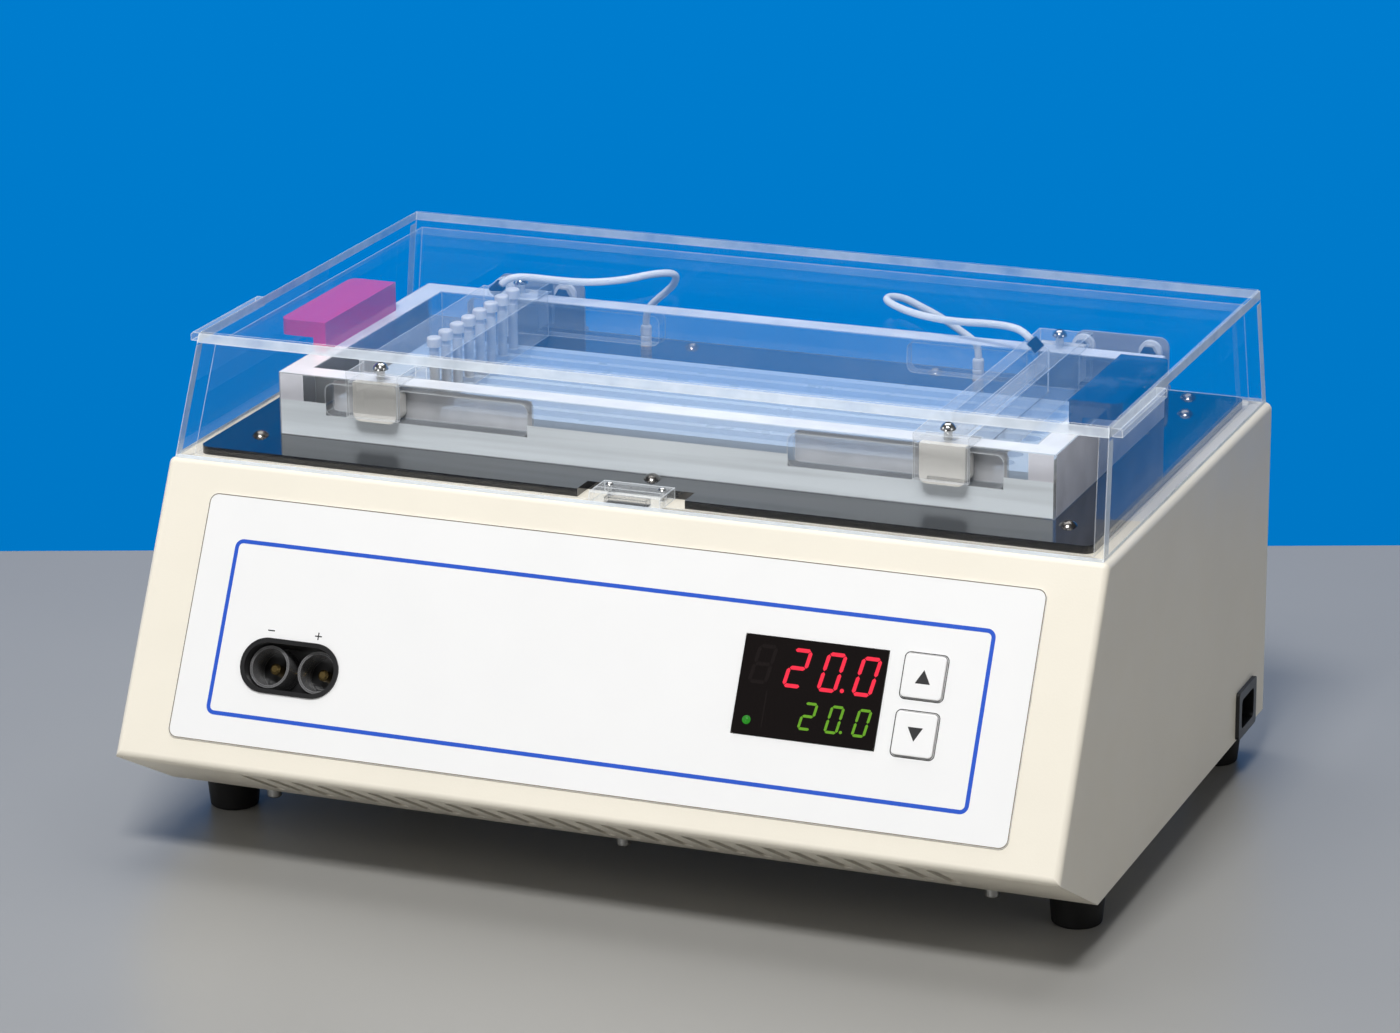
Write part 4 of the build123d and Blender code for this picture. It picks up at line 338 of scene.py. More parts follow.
class Shader(Wiring):
    """A material and its main surface shader."""

    steepness: float = 5.0  # power with which cover rises at a glancing angle

    def __init__(self, name: str, effects: EffectLibrary, colour: Colour, roughness: float) -> None:
        """Make a plain material.

        Args:
            name: The material's name.
            effects: Where shared groups come from.
            colour: Base colour, linear.
            roughness: Its roughness.
        """
        self.material = bpy.data.materials.new(name)
        self.material.use_nodes = True
        super().__init__(self.material.node_tree)
        self.tree.nodes.clear()
        self.effects = effects
        self.surface = self.node("BsdfPrincipled", Base_Color=(*colour, 1.0), Roughness=roughness)
        self.node("OutputMaterial", Surface=self.surface.outputs["BSDF"])

    def drive(self, **values: Any) -> None:
        """Feed inputs of the main shader, as fill does."""
        self.fill(self.surface, **values)

    def effect(self, effect: Effect, **values: float) -> Any:
        """Add a shared group.

        Args:
            effect: Which group.
            values: Its inputs.

        Returns:
            Its output socket.
        """
        made = self.tree.nodes.new("ShaderNodeGroup")
        made.node_tree = self.effects.get(effect)
        return self.fill(made, **values).outputs[0]

    def vary(self, colour: Colour, darker: float, scale: float) -> Any:
        """Mix a colour softly with a darker one.

        Args:
            colour: The lighter colour, linear.
            darker: The factor for the darker one.
            scale: Variations per metre.

        Returns:
            The mixed colour's socket.
        """
        dark = (*(value * darker for value in colour), 1.0)
        return self.blend(self.effect(Effect.MOTTLE, Scale=scale), dark, (*colour, 1.0))

    def glancing(self, straight: float, added: float) -> Any:
        """Cover that rises steeply as a surface is seen at a flatter angle.

        Args:
            straight: Cover when seen straight on.
            added: Cover that is added at the flattest angle.

        Returns:
            The cover's socket.
        """
        facing = self.node("LayerWeight", Blend=0.5).outputs["Facing"]
        return self.math("MULTIPLY_ADD", self.math("POWER", facing, self.steepness), added, straight)

    def one_sided(self) -> None:
        """Let the surface be looked through from behind."""
        side = self.node("NewGeometry").outputs["Backfacing"]
        self.drive(Alpha=self.math("SUBTRACT", 1.0, side))


@dataclass(frozen=True)
class Finish:
    """A surface finish."""

    label: str  # the material's name
    colour: Colour  # base colour, linear
    roughness: float  # mean roughness

    def build(self, effects: EffectLibrary) -> bpy.types.Material:
        """Make the material.

        Args:
            effects: Shared groups.

        Returns:
            The material.
        """
        shader = Shader(self.label, effects, self.colour, self.roughness)
        self.dress(shader)
        return shader.material

    def dress(self, shader: Shader) -> None:
        """Give a plain material this finish's variation."""
        raise NotImplementedError


@dataclass(frozen=True)
class Moulded(Finish):
    """Paint, plastic, rubber or film: a coloured surface with fine relief."""

    variation: float = 0.97  # factor of the darkest patches
    patches: float = 25.0  # patches per metre
    relief: float = 0.1  # strength of the relief
    grain: float = 1500.0  # grains per metre
    coat: float = 0.0  # weight of a clear gloss layer
    coat_roughness: float = 0.03
    sheen_spread: float = 0.05  # half the spread of roughness
    sheen_patches: float = 60.0  # patches of roughness per metre
    specular: float = 0.5  # strength of the mirror part

    def dress(self, shader: Shader) -> None:
        """Add patches, uneven sheen and relief.

        Args:
            shader: The plain material.
        """
        dull, bright = self.roughness - self.sheen_spread, self.roughness + self.sheen_spread
        shader.drive(
            Specular_IOR_Level=self.specular,
            Coat_Weight=self.coat,
            Coat_Roughness=self.coat_roughness,
            Base_Color=shader.vary(self.colour, self.variation, self.patches),
            Roughness=shader.effect(Effect.MOTTLE, Scale=self.sheen_patches, Low=dull, High=bright),
            Normal=shader.effect(Effect.GRAIN, Scale=self.grain, Strength=self.relief),
        )


@dataclass(frozen=True)
class Metal(Finish):
    """Bare metal with fine machining marks."""

    variation: float = 0.88  # factor of the darkest patches
    patches: float = 90.0  # patches per metre
    marks: float = 0.08  # strength of the marks
    scale: float = 400.0  # marks per metre

    def dress(self, shader: Shader) -> None:
        """Add patches and marks.

        Args:
            shader: The plain material.
        """
        shader.drive(
            Metallic=1.0,
            Base_Color=shader.vary(self.colour, self.variation, self.patches),
            Normal=shader.effect(Effect.BRUSHED, Scale=self.scale, Strength=self.marks),
        )


@dataclass(frozen=True)
class Polished(Finish):
    """Polished clear acrylic: see-through, and mirror-like where it is seen at a glancing angle."""

    variation: float = 0.96  # factor of the darkest patches
    patches: float = 14.0  # patches per metre
    straight: float = 0.045  # share of light it mirrors when seen straight on
    glancing: float = 0.9  # share that is added at the flattest angle
    edge: float = 0.5  # cover of the line along its edges, which scatters light

    def dress(self, shader: Shader) -> None:
        """Add the mirror, and the pale line where the sheet ends.

        Args:
            shader: The plain material.
        """
        line = shader.effect(Effect.EDGE)
        cover = shader.glancing(self.straight, self.glancing)
        shader.drive(Metallic=1.0)
        shader.drive(
            Base_Color=shader.vary(self.colour, self.variation, self.patches),
            Metallic=shader.math("SUBTRACT", 1.0, line),
            Alpha=shader.math("MULTIPLY_ADD", line, self.edge, cover, clamp=True),
        )


@dataclass(frozen=True)
class Milky(Finish):
    """Frosted or scratched acrylic: a pale veil over what is behind it."""

    variation: float = 0.95  # factor of the darkest patches
    patches: float = 30.0  # patches of colour and of the veil per metre
    thin: float = 0.2  # cover where the veil is thinnest
    dense: float = 0.3  # cover where it is densest
    glancing: float = 0.6  # cover that is added at the flattest angle
    edge: float = 0.5  # cover that is added along its edges

    def dress(self, shader: Shader) -> None:
        """Add the veil.

        Args:
            shader: The plain material.
        """
        veil = shader.effect(Effect.MOTTLE, Scale=self.patches, Low=self.thin, High=self.dense)
        cover = shader.math("ADD", veil, shader.glancing(0.0, self.glancing), clamp=True)
        line = shader.effect(Effect.EDGE)
        shader.drive(
            Base_Color=shader.vary(self.colour, self.variation, self.patches),
            Alpha=shader.math("MULTIPLY_ADD", line, self.edge, cover, clamp=True),
        )


@dataclass(frozen=True)
class StreakedPaintedLight(Finish):
    """Painted light: a pale film with long level bands, which stands for the lit strips as refraction
    shows them through the wall before them.
    """

    thin: float = 0.2  # cover between the bands
    dense: float = 0.3  # cover on them
    across: float = 330.0  # bands per metre of height
    along: float = 9.0  # breaks per metre of length

    def dress(self, shader: Shader) -> None:
        """Add the bands.

        Args:
            shader: The plain material.
        """
        bands = {"Across": self.across, "Along": self.along, "Low": self.thin, "High": self.dense}
        # painted light: the bands of cover stand for the lit strips seen through the wall
        shader.drive(Alpha=shader.effect(Effect.STREAK, **bands))


@dataclass(frozen=True)
class Glow(Finish):
    """A lit display segment or lamp under a dark window."""

    variation: float = 0.8  # factor of the dimmest patches
    patches: float = 900.0  # patches per metre
    strength: float = 1.0  # strength of its light
    unlit: float = 0.012  # grey of its surface
    specular: float = 0.12  # strength of the mirror part

    def dress(self, shader: Shader) -> None:
        """Add the light.

        Args:
            shader: The plain material.
        """
        shader.drive(
            Base_Color=(self.unlit, self.unlit, self.unlit, 1.0),
            Specular_IOR_Level=self.specular,
            Emission_Strength=self.strength,
            Emission_Color=shader.vary(self.colour, self.variation, self.patches),
        )


class Look(Enum):
    """Every finish on the unit."""

    CREAM = Moulded("CreamPaint", (0.85, 0.80, 0.69), 0.42, relief=0.28, grain=1300.0)
    OVERLAY = Moulded("OverlayFilm", (0.86, 0.86, 0.86), 0.35, relief=0.05, grain=3000.0, variation=0.99)
    BLUE_INK = Moulded("BlueInk", (0.020, 0.095, 0.57), 0.5, variation=0.95, specular=0.2)
    DARK_INK = Moulded("DarkInk", (0.02, 0.02, 0.022), 0.4)
    # painted shade: the dark line round the overlay's edge, where the film's step shades the cream front
    EDGE_PAINTED_SHADE = Moulded("EdgeShade", (0.20, 0.17, 0.12), 0.5)
    KEY = Moulded("KeyFilm", (0.86, 0.86, 0.86), 0.38, relief=0.05, grain=3000.0, variation=0.99)
    WINDOW = Moulded("DisplayWindow", (0.006, 0.004, 0.004), 0.08, relief=0.01, coat=0.6)
    RED_GLOW = Glow("RedSegments", (1.0, 0.02, 0.06), 0.4, strength=1.15)
    GREEN_GLOW = Glow("GreenSegments", (0.20, 0.55, 0.015), 0.4, strength=0.72)
    LAMP_GLOW = Glow("GreenLamp", (0.03, 0.45, 0.02), 0.25, strength=0.6)
    GHOST = Moulded("UnlitSegments", (0.011, 0.008, 0.008), 0.08, relief=0.01, coat=0.6)
    BLACK = Moulded("BlackPlastic", (0.012, 0.012, 0.013), 0.32, relief=0.12, grain=2500.0)
    SHROUD = Milky("GreyShroud", (0.20, 0.20, 0.205), 0.12, thin=0.55, dense=0.6, patches=200.0)
    BRASS = Metal("Brass", (0.62, 0.44, 0.17), 0.22)
    DECK = Moulded(
        "GlossBlackDeck", (0.0025, 0.004, 0.008), 0.06,
        relief=0.008, grain=200.0, coat=0.4, sheen_spread=0.02, specular=0.6,
    )
    DECK_SCREW = Metal("DarkSteel", (0.20, 0.19, 0.18), 0.25)
    STEEL = Metal("BrightSteel", (0.62, 0.62, 0.61), 0.2)
    HINGE = Moulded("SatinHinge", (0.50, 0.50, 0.53), 0.35, relief=0.1, specular=0.8)
    GREY_STEEL = Metal("PlatedSteel", (0.42, 0.42, 0.41), 0.38, marks=0.15)
    ALUMINIUM = Metal("MachinedAluminium", (0.66, 0.67, 0.68), 0.3, marks=0.2)
    FOAM = Moulded("ClosedCellFoam", (0.03, 0.03, 0.03), 0.9, relief=0.6, grain=900.0)
    CERAMIC = Moulded("Ceramic", (0.75, 0.75, 0.72), 0.5)
    MAGNET = Moulded("BlackFerrite", (0.015, 0.015, 0.016), 0.45, relief=0.2)
    LID = Polished("LidAcrylic", (0.93, 0.96, 1.0), 0.02, straight=0.02)
    LID_EDGE = Milky("LidCutEdge", (0.84, 0.91, 0.98), 0.35, thin=0.28, dense=0.68, patches=45.0)
    ACRYLIC = Milky("TrayAcrylic", (0.90, 0.95, 1.0), 0.12, thin=0.08, dense=0.14)
    TRAY_RIM = Milky("TrayRim", (0.92, 0.95, 1.0), 0.25, thin=0.66, dense=0.90, patches=40.0)
    # frosted as the sawn ends are; its blue tint is a painted reflection of the blue backdrop
    TRAY_END = Milky("SawnTrayEnd", (0.91, 0.92, 1.0), 0.4, thin=0.72, dense=0.88, patches=60.0)
    # painted light: a near-opaque pale film whose bands stand for the lit strips seen by refraction
    # through the front wall, and whose blue tint is a painted reflection of the blue backdrop
    TRAY_FRONT_PAINTED_LIGHT = StreakedPaintedLight("PaintedLightStripsThroughWall", (0.88, 0.95, 1.0), 0.2, thin=0.84, dense=0.97)
    POCKET = Milky("MilledPocket", (0.94, 0.96, 1.0), 0.4, thin=0.42, dense=0.58, patches=50.0)
    BAR_ACRYLIC = Milky("BarAcrylic", (0.90, 0.95, 1.0), 0.08, thin=0.07, dense=0.13, edge=0.6)
    ROD = Milky("PostRod", (0.92, 0.95, 1.0), 0.1, thin=0.42, dense=0.52)
    STRIP = Moulded("StripHolder", (0.48, 0.61, 0.79), 0.3, relief=0.05)
    RED_HANDLE = Milky("RedHandle", (0.76, 0.03, 0.19), 0.15, thin=0.88, dense=0.94, edge=0.1)
    NAVY_HANDLE = Moulded("NavyHandle", (0.006, 0.012, 0.035), 0.1, relief=0.01, coat=0.8)
    CREAM_SLIDER = Moulded("Fluoropolymer", (0.97, 0.95, 0.90), 0.4, relief=0.05)
    PLATINUM = Metal("PlatinumWire", (0.70, 0.68, 0.65), 0.2)
    WHITE = Moulded("WhitePlastic", (0.82, 0.82, 0.82), 0.35, relief=0.03)
    LEAD = Moulded("WhiteLead", (0.92, 0.93, 0.93), 0.4, relief=0.06, grain=1200.0)
    RUBBER = Moulded("FootRubber", (0.005, 0.005, 0.005), 0.6, relief=0.3, grain=1800.0, specular=0.3)
    BOARD = Moulded("CircuitBoard", (0.01, 0.09, 0.03), 0.4, relief=0.3, grain=900.0)


class LookLibrary:
    """Builds each finish's material once."""

    def __init__(self) -> None:
        """Start with no material built."""
        self._effects = EffectLibrary()
        self._built: dict[Look, bpy.types.Material] = {}

    def get(self, look: Look) -> bpy.types.Material:
        """Find or build a finish's material.

        Args:
            look: Which finish.

        Returns:
            Its material.
        """
        if look not in self._built:
            self._built[look] = look.value.build(self._effects)
        return self._built[look]


@dataclass(frozen=True)
class Panel:
    """The sloping front as a drawing surface: X across, s down the slope, lift out of it, in mm."""

    top_y: float = -80.0  # Y of the front's top edge
    top_z: float = 138.0  # its height
    drop: float = 98.0  # how far the front comes down
    reach: float = 51.0  # how far it comes forward

    def point(self, x: float, s: float, lift: float) -> Vector:
        """A point in the row frame.

        Args:
            x: Across, in mm.
            s: Down the slope from the top edge, in mm.
            lift: Out of the face, in mm.

        Returns:
            The point, in metres.
        """
        slope = math.hypot(self.drop, self.reach)
        y = self.top_y - s * self.reach / slope - lift * self.drop / slope
        z = self.top_z - s * self.drop / slope + lift * self.reach / slope
        return Vector((x, y, z)) * MM

    def stand(self, x: float, s: float, lift: float) -> Matrix:
        """A placement with its Z out of the face.

        Args:
            x: Across, in mm.
            s: Down the slope from the top edge, in mm.
            lift: Out of the face, in mm.

        Returns:
            The placement, in metres.
        """
        out = (self.point(0, 0, 1) - self.point(0, 0, 0)).normalized()
        turn = out.to_track_quat("Z", "Y").to_matrix().to_4x4()
        return Matrix.Translation(self.point(x, s, lift)) @ turn


@dataclass(frozen=True)
class Solid:
    """A closed solid through matching loops of points, in metres."""

    loops: Sequence[Sequence[Vector]]
    ring: bool = False  # whether the last loop joins the first; otherwise a face closes each

    def add(self, mesh: bmesh.types.BMesh) -> None:
        """Add the solid to a mesh.

        Args:
            mesh: Where it goes.
        """
        rows = [[mesh.verts.new(point) for point in loop] for loop in self.loops]
        for low, high in zip(rows, rows[1:] + rows[:1] if self.ring else rows[1:]):
            for index, vert in enumerate(low):
                after = (index + 1) % len(low)
                mesh.faces.new((vert, low[after], high[after], high[index]))
        if not self.ring:
            mesh.faces.new(list(reversed(rows[0])))
            mesh.faces.new(rows[-1])


class Shapes:
    """Makers of solids and outlines. Sizes are in metres unless their name says otherwise."""

    @staticmethod
    def circle(sides: int) -> list[Pair]:
        """Points round a circle of radius 1."""
        angles = (2 * math.pi * side / sides for side in range(sides))
        return [(math.cos(angle), math.sin(angle)) for angle in angles]

    @staticmethod
    def sheet(corners: Sequence[Vector], out: Vector) -> Solid:
        """A flat plate with the given corners, as thick as out is long."""
        return Solid([corners, [corner + out for corner in corners]])

    @staticmethod
    def lathe(profile_mm: Sequence[Pair], axis: Matrix, sides: int = 40) -> Solid:
        """Turn a profile about an axis.

        Args:
            profile_mm: (radius, height) pairs from bottom to top.
            axis: Places the turned shape, its axis along local Z.
            sides: How many steps round.

        Returns:
            The solid.
        """
        loops = []
        for radius, height in profile_mm:
            loop = [Vector((radius * x, radius * y, height)) for x, y in Shapes.circle(sides)]
            loops.append([axis @ (point * MM) for point in loop])
        return Solid(loops)

    @staticmethod
    def tube(path: Sequence[Vector], radius: float, sides: int = 20) -> Solid:
        """Sweep a circle along a path without twist.

        Args:
            path: The centreline's points.
            radius: The tube's radius.
            sides: How many steps round.

        Returns:
            The solid.
        """
        across = Vector((0.0, 0.0, 1.0)).cross(path[1] - path[0])
        loops = []
        for index, spot in enumerate(path):
            along = (path[min(index + 1, len(path) - 1)] - path[max(index - 1, 0)]).normalized()
            across = (across - along * across.dot(along)).normalized()
            other = along.cross(across)
            loops.append([spot + (across * x + other * y) * radius for x, y in Shapes.circle(sides)])
        return Solid(loops)

    @staticmethod
    def rounded(width: float, height: float, corner: float, steps: int = 8) -> list[Pair]:
        """Outline of a rounded rectangle about its middle.

        Args:
            width: Overall width.
            height: Overall height.
            corner: Corner radius.
            steps: Points in each corner.

        Returns:
            The outline's points, anticlockwise.
        """
        outline = []
        for number, (side, end) in enumerate(((1, 1), (-1, 1), (-1, -1), (1, -1))):
            for step in range(steps + 1):
                angle = math.pi / 2 * (number + step / steps)
                x = side * (width / 2 - corner) + corner * math.cos(angle)
                outline.append((x, end * (height / 2 - corner) + corner * math.sin(angle)))
        return outline


@dataclass
class Assembly:
    """A sub-assembly: gives its CAD nodes their finishes and adds its own pieces."""

    nodes: ClassVar[dict[Look, str]] = {}  # the CAD nodes that get each finish
    frame: dict[str, Any]  # what the frame's load call gave
    looks: LookLibrary
    panel: Panel = field(default_factory=Panel)  # the sloping front

    def build(self) -> None:
        """Finish the CAD nodes, then add the pieces."""
        for look, names in self.nodes.items():
            for name in names.split():
                for slot in self.frame["nodes"][name].material_slots:
                    slot.material = self.looks.get(look)
                LOG.info("finish %s on %s", look.value.label, name)
        self.add_pieces()

    def add_pieces(self) -> None:
        """Add the pieces that aren't CAD nodes; here there are none."""

    def piece(
        self,
        name: str,
        solids: Iterable[Solid],
        look: Look,
        slot: str,
        body: Body | None = Body.BASE,
        smooth: bool = False,
    ) -> bpy.types.Object:
        """Add a piece made of solids.

        Args:
            name: The piece's name.
            solids: What it is made of.
            look: Its finish.
            slot: The record's material slot; not used.
            body: What it rides on, or None to leave it on no body.
            smooth: Whether its faces are shaded smooth.

        Returns:
            The piece.
        """
        mesh = bmesh.new()
        for solid in solids:
            solid.add(mesh)
        bmesh.ops.recalc_face_normals(mesh, faces=mesh.faces)
        data = bpy.data.meshes.new(name)
        mesh.to_mesh(data)
        mesh.free()
        for polygon in data.polygons:
            polygon.use_smooth = smooth
        made = bpy.data.objects.new(name, data)
        bpy.context.scene.collection.objects.link(made)
        made.data.materials.append(self.looks.get(look))
        if body:
            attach(made, body.value)
        LOG.info("piece %s on %s", name, body.value if body else "two bodies")
        return made


@dataclass
class Housing(Assembly):
    """Painted sheet body, its feet, and what is inside and behind."""

    nodes: ClassVar[dict[Look, str]] = {
        Look.CREAM: "casing bottom_plate rear_panel",
        Look.RUBBER: "feet",
        Look.GREY_STEEL: "bottom_screws rear_screws fan_guard power_supply",
        Look.BLACK: "fan_frame fan_rotor switch_frame rocker power_inlet reed_switch",
        Look.BOARD: "control_board display_board",
        Look.ALUMINIUM: "heat_sink cooling_plate",
        Look.FOAM: "plate_foam",
        Look.CERAMIC: "peltier_modules",
    }


class Segment(Enum):
    """Seven-segment bars as (from, to) corners: column 0 or 1, row 0 to 2."""

    TOP = ((0, 0), (1, 0))
    UPPER_RIGHT = ((1, 0), (1, 1))
    LOWER_RIGHT = ((1, 1), (1, 2))
    BOTTOM = ((0, 2), (1, 2))
    LOWER_LEFT = ((0, 1), (0, 2))
    UPPER_LEFT = ((0, 0), (0, 1))
    MIDDLE = ((0, 1), (1, 1))


TWO = (Segment.TOP, Segment.UPPER_RIGHT, Segment.MIDDLE, Segment.LOWER_LEFT, Segment.BOTTOM)
ZERO = tuple(segment for segment in Segment if segment is not Segment.MIDDLE)
EIGHT = tuple(Segment)


@dataclass(frozen=True)
class DigitStyle:
    """Sizes of one row of digits, in mm on the panel."""

    top: float  # s of the digits' top
    height: float
    width: float
    bar: float  # width of a segment
    slant: float  # how far the bottom is shifted to the left


UPPER = DigitStyle(top=41.4, height=14.0, width=7.3, bar=1.35, slant=2.4)
LOWER = DigitStyle(top=59.6, height=9.9, width=5.1, bar=0.95, slant=1.6)


@dataclass(frozen=True)
class Outline:
    """A printed rounded frame, or the painted shade line round the overlay, in mm on the panel."""

    name: str
    middle: Pair  # X and s of its middle
    size: Pair  # outer width and height
    corner: float  # outer corner radius
    line: float  # the line's width
    look: Look


@dataclass(frozen=True)
class Readout:
    """A row of digits on the display, in mm on the panel."""

    name: str
    look: Look
    style: DigitStyle
    digits: tuple[tuple[float, tuple[Segment, ...]], ...]  # X of each digit's left, and its segments
    point: Point | None = None  # X, s and radius of the decimal point


@dataclass
class ControlPanel(Assembly):
    """Printed overlay, display, keys and high-voltage sockets. Its sizes are in mm."""

    nodes: ClassVar[dict[Look, str]] = {
        Look.OVERLAY: "front_overlay",
        Look.WINDOW: "display_window",
        Look.KEY: "key_up key_down",
        Look.BLACK: "socket_housing",
        Look.SHROUD: "socket_shrouds",
        Look.BRASS: "socket_pins",
    }
    overlay_lift: float = 0.5
    window_lift: float = 1.0
    key_lift: float = 1.6
    ink: float = 0.03  # thickness of a layer of ink
    outlines: tuple[Outline, ...] = (
        Outline("frame_line", (-1.2, 58.85), (288.4, 64.3), 3.2, 1.5, Look.BLUE_INK),
        # painted shade round the overlay's edge, laid as a dark line
        Outline("overlay_painted_edge_shade", (0.0, 56.0), (317.3, 89.8), 3.4, 0.35, Look.EDGE_PAINTED_SHADE),
        Outline("key_up_outline", (120.0, 46.0), (16.2, 16.7), 2.2, 0.35, Look.DARK_INK),
        Outline("key_down_outline", (120.0, 66.1), (16.2, 16.7), 2.2, 0.35, Look.DARK_INK),
    )
    arrows: tuple[tuple[str, Body, tuple[Pair, ...]], ...] = (
        ("up_arrow", Body.KEY_UP, ((120.0, 43.7), (117.3, 48.6), (122.8, 48.6))),
        ("down_arrow", Body.KEY_DOWN, ((120.1, 68.6), (117.3, 63.7), (122.8, 63.7))),
    )
    minus_x: float = -125.3
    plus_x: float = -106.7
    mark_s: float = 58.3
    mark_size: Pair = (1.35, 0.22)  # half length and half width of a mark's bars
    upright_layers: float = 1.2  # ink of the plus sign's upright bar, so that it lies over the other
    readouts: tuple[Readout, ...] = (
        Readout(
            "red_digits", Look.RED_GLOW, UPPER,
            digits=((71.9, TWO), (84.6, ZERO), (97.3, ZERO)), point=(91.6, 54.3, 0.75),
        ),
        Readout(
            "green_digits", Look.GREEN_GLOW, LOWER,
            digits=((79.1, TWO), (88.8, ZERO), (98.8, ZERO)), point=(93.5, 68.6, 0.55),
        ),
    )
    unlit: Readout = Readout("unlit_digits", Look.GHOST, UPPER, ((59.2, EIGHT),))
    unlit_bar: tuple[float, float, float, float] = (64.65, 64.0, 0.25, 6.5)  # as rectangle takes it
    bar_gap: float = 0.12  # what a segment's ends leave free, of its width
    lamp: Pair = (58.9, 68.3)  # its X and s
    lamp_profile: tuple[Pair, ...] = ((1.55, 0.0), (1.5, 0.25), (1.2, 0.6), (0.7, 0.85), (0.15, 0.95))
    screw: Point = (-115.7, 71.0, -13.5)  # its X, s and lift
    screw_profile: tuple[Pair, ...] = ((1.5, 0.0), (1.5, 0.5), (1.25, 1.1), (0.5, 1.35))

    def add_pieces(self) -> None:
        """Print the panel's graphics and paint the shade line round the overlay's edge, light the display
        and add the screw between the shrouds.
        """
        for outline in self.outlines:
            self.print_outline(outline)
        for name, body, corners in self.arrows:
            self.piece(name, [self.slab(corners, self.key_lift)], Look.DARK_INK, "key_grey", body)
        self.marks()
        for readout in self.readouts:
            self.show(readout)
        self.show(self.unlit, self.slab(self.rectangle(*self.unlit_bar), self.window_lift))
        lamp = Shapes.lathe(self.lamp_profile, self.panel.stand(*self.lamp, self.window_lift), sides=28)
        self.piece("panel_lamp", [lamp], Look.LAMP_GLOW, "window_dark", smooth=True)
        screw = Shapes.lathe(self.screw_profile, self.panel.stand(*self.screw), sides=24)
        self.piece("socket_screw", [screw], Look.BRASS, "brass", smooth=True)

    @staticmethod
    def rectangle(x: float, s: float, wide: float, tall: float) -> list[Pair]:
        """Corners round a middle, from half its width and half its height."""
        return [(x - wide, s - tall), (x + wide, s - tall), (x + wide, s + tall), (x - wide, s + tall)]

    def slab(self, outline: Iterable[Pair], lift: float, layers: float = 1.0) -> Solid:
        """Print a flat shape.

        Args:
            outline: (x, s) points, in mm.
            lift: Lift of its underside, in mm.
            layers: Its thickness in layers of ink.

        Returns:
            Its solid.
        """
        points = list(outline)
        levels = (lift, lift + self.ink * layers)
        return Solid([[self.panel.point(x, s, level) for x, s in points] for level in levels])

    def print_outline(self, outline: Outline) -> None:
        """Print a rounded frame, or paint the shade line round the overlay's edge.

        Args:
            outline: Its place, sizes and ink, or its painted shade.
        """
        (x, s), (width, height), line = outline.middle, outline.size, outline.line
        loops = []
        for inset, lift in ((0.0, 0.0), (0.0, self.ink), (line, self.ink), (line, 0.0)):
            shape = Shapes.rounded(width - 2 * inset, height - 2 * inset, outline.corner - inset)
            loops.append([self.panel.point(x + u, s + v, self.overlay_lift + lift) for u, v in shape])
        self.piece(outline.name, [Solid(loops, ring=True)], outline.look, "overlay_white")

    def marks(self) -> None:
        """Print the minus and plus signs over the sockets."""
        reach, half = self.mark_size
        level = [self.rectangle(x, self.mark_s, reach, half) for x in (self.minus_x, self.plus_x)]
        bars = [self.slab(bar, self.overlay_lift) for bar in level]
        upright = self.rectangle(self.plus_x, self.mark_s, half, reach)
        bars.append(self.slab(upright, self.overlay_lift, self.upright_layers))
        self.piece("polarity_marks", bars, Look.DARK_INK, "overlay_white")

    def show(self, readout: Readout, *others: Solid) -> None:
        """Light a row of digits.

        Args:
            readout: The row.
            others: What the piece has besides digits.
        """
        solids = list(others)
        for left, segments in readout.digits:
            solids += [self.bar(readout.style, left, segment) for segment in segments]
        if readout.point:
            x, s, radius = readout.point
            around = [(x + radius * u, s + radius * v) for u, v in Shapes.circle(24)]
            solids.append(self.slab(around, self.window_lift))
        self.piece(readout.name, solids, readout.look, "window_dark")

    def bar(self, style: DigitStyle, left: float, segment: Segment) -> Solid:
        """Make one segment of a digit.

        Args:
            style: The row's sizes.
            left: X of the digit's top left corner, in mm.
            segment: Which one.

        Returns:
            Its solid.
        """
        half, gap, shift = style.bar / 2, style.bar * self.bar_gap, style.slant / style.height
        step = Vector((style.width - style.bar, (style.height - style.bar) / 2))
        ends = [Vector((half + column * step.x, half + row * step.y)) for column, row in segment.value]
        along = (ends[1] - ends[0]).normalized()
        across = Vector((-along.y, along.x))
        start, stop = ends[0] + along * gap, ends[1] - along * gap
        shape = (
            start, start + (along + across) * half, stop + (across - along) * half,
            stop, stop - (along + across) * half, start + (along - across) * half,
        )
        outline = [(left + spot.x - shift * spot.y, style.top + spot.y) for spot in shape]
        return self.slab(outline, self.window_lift)


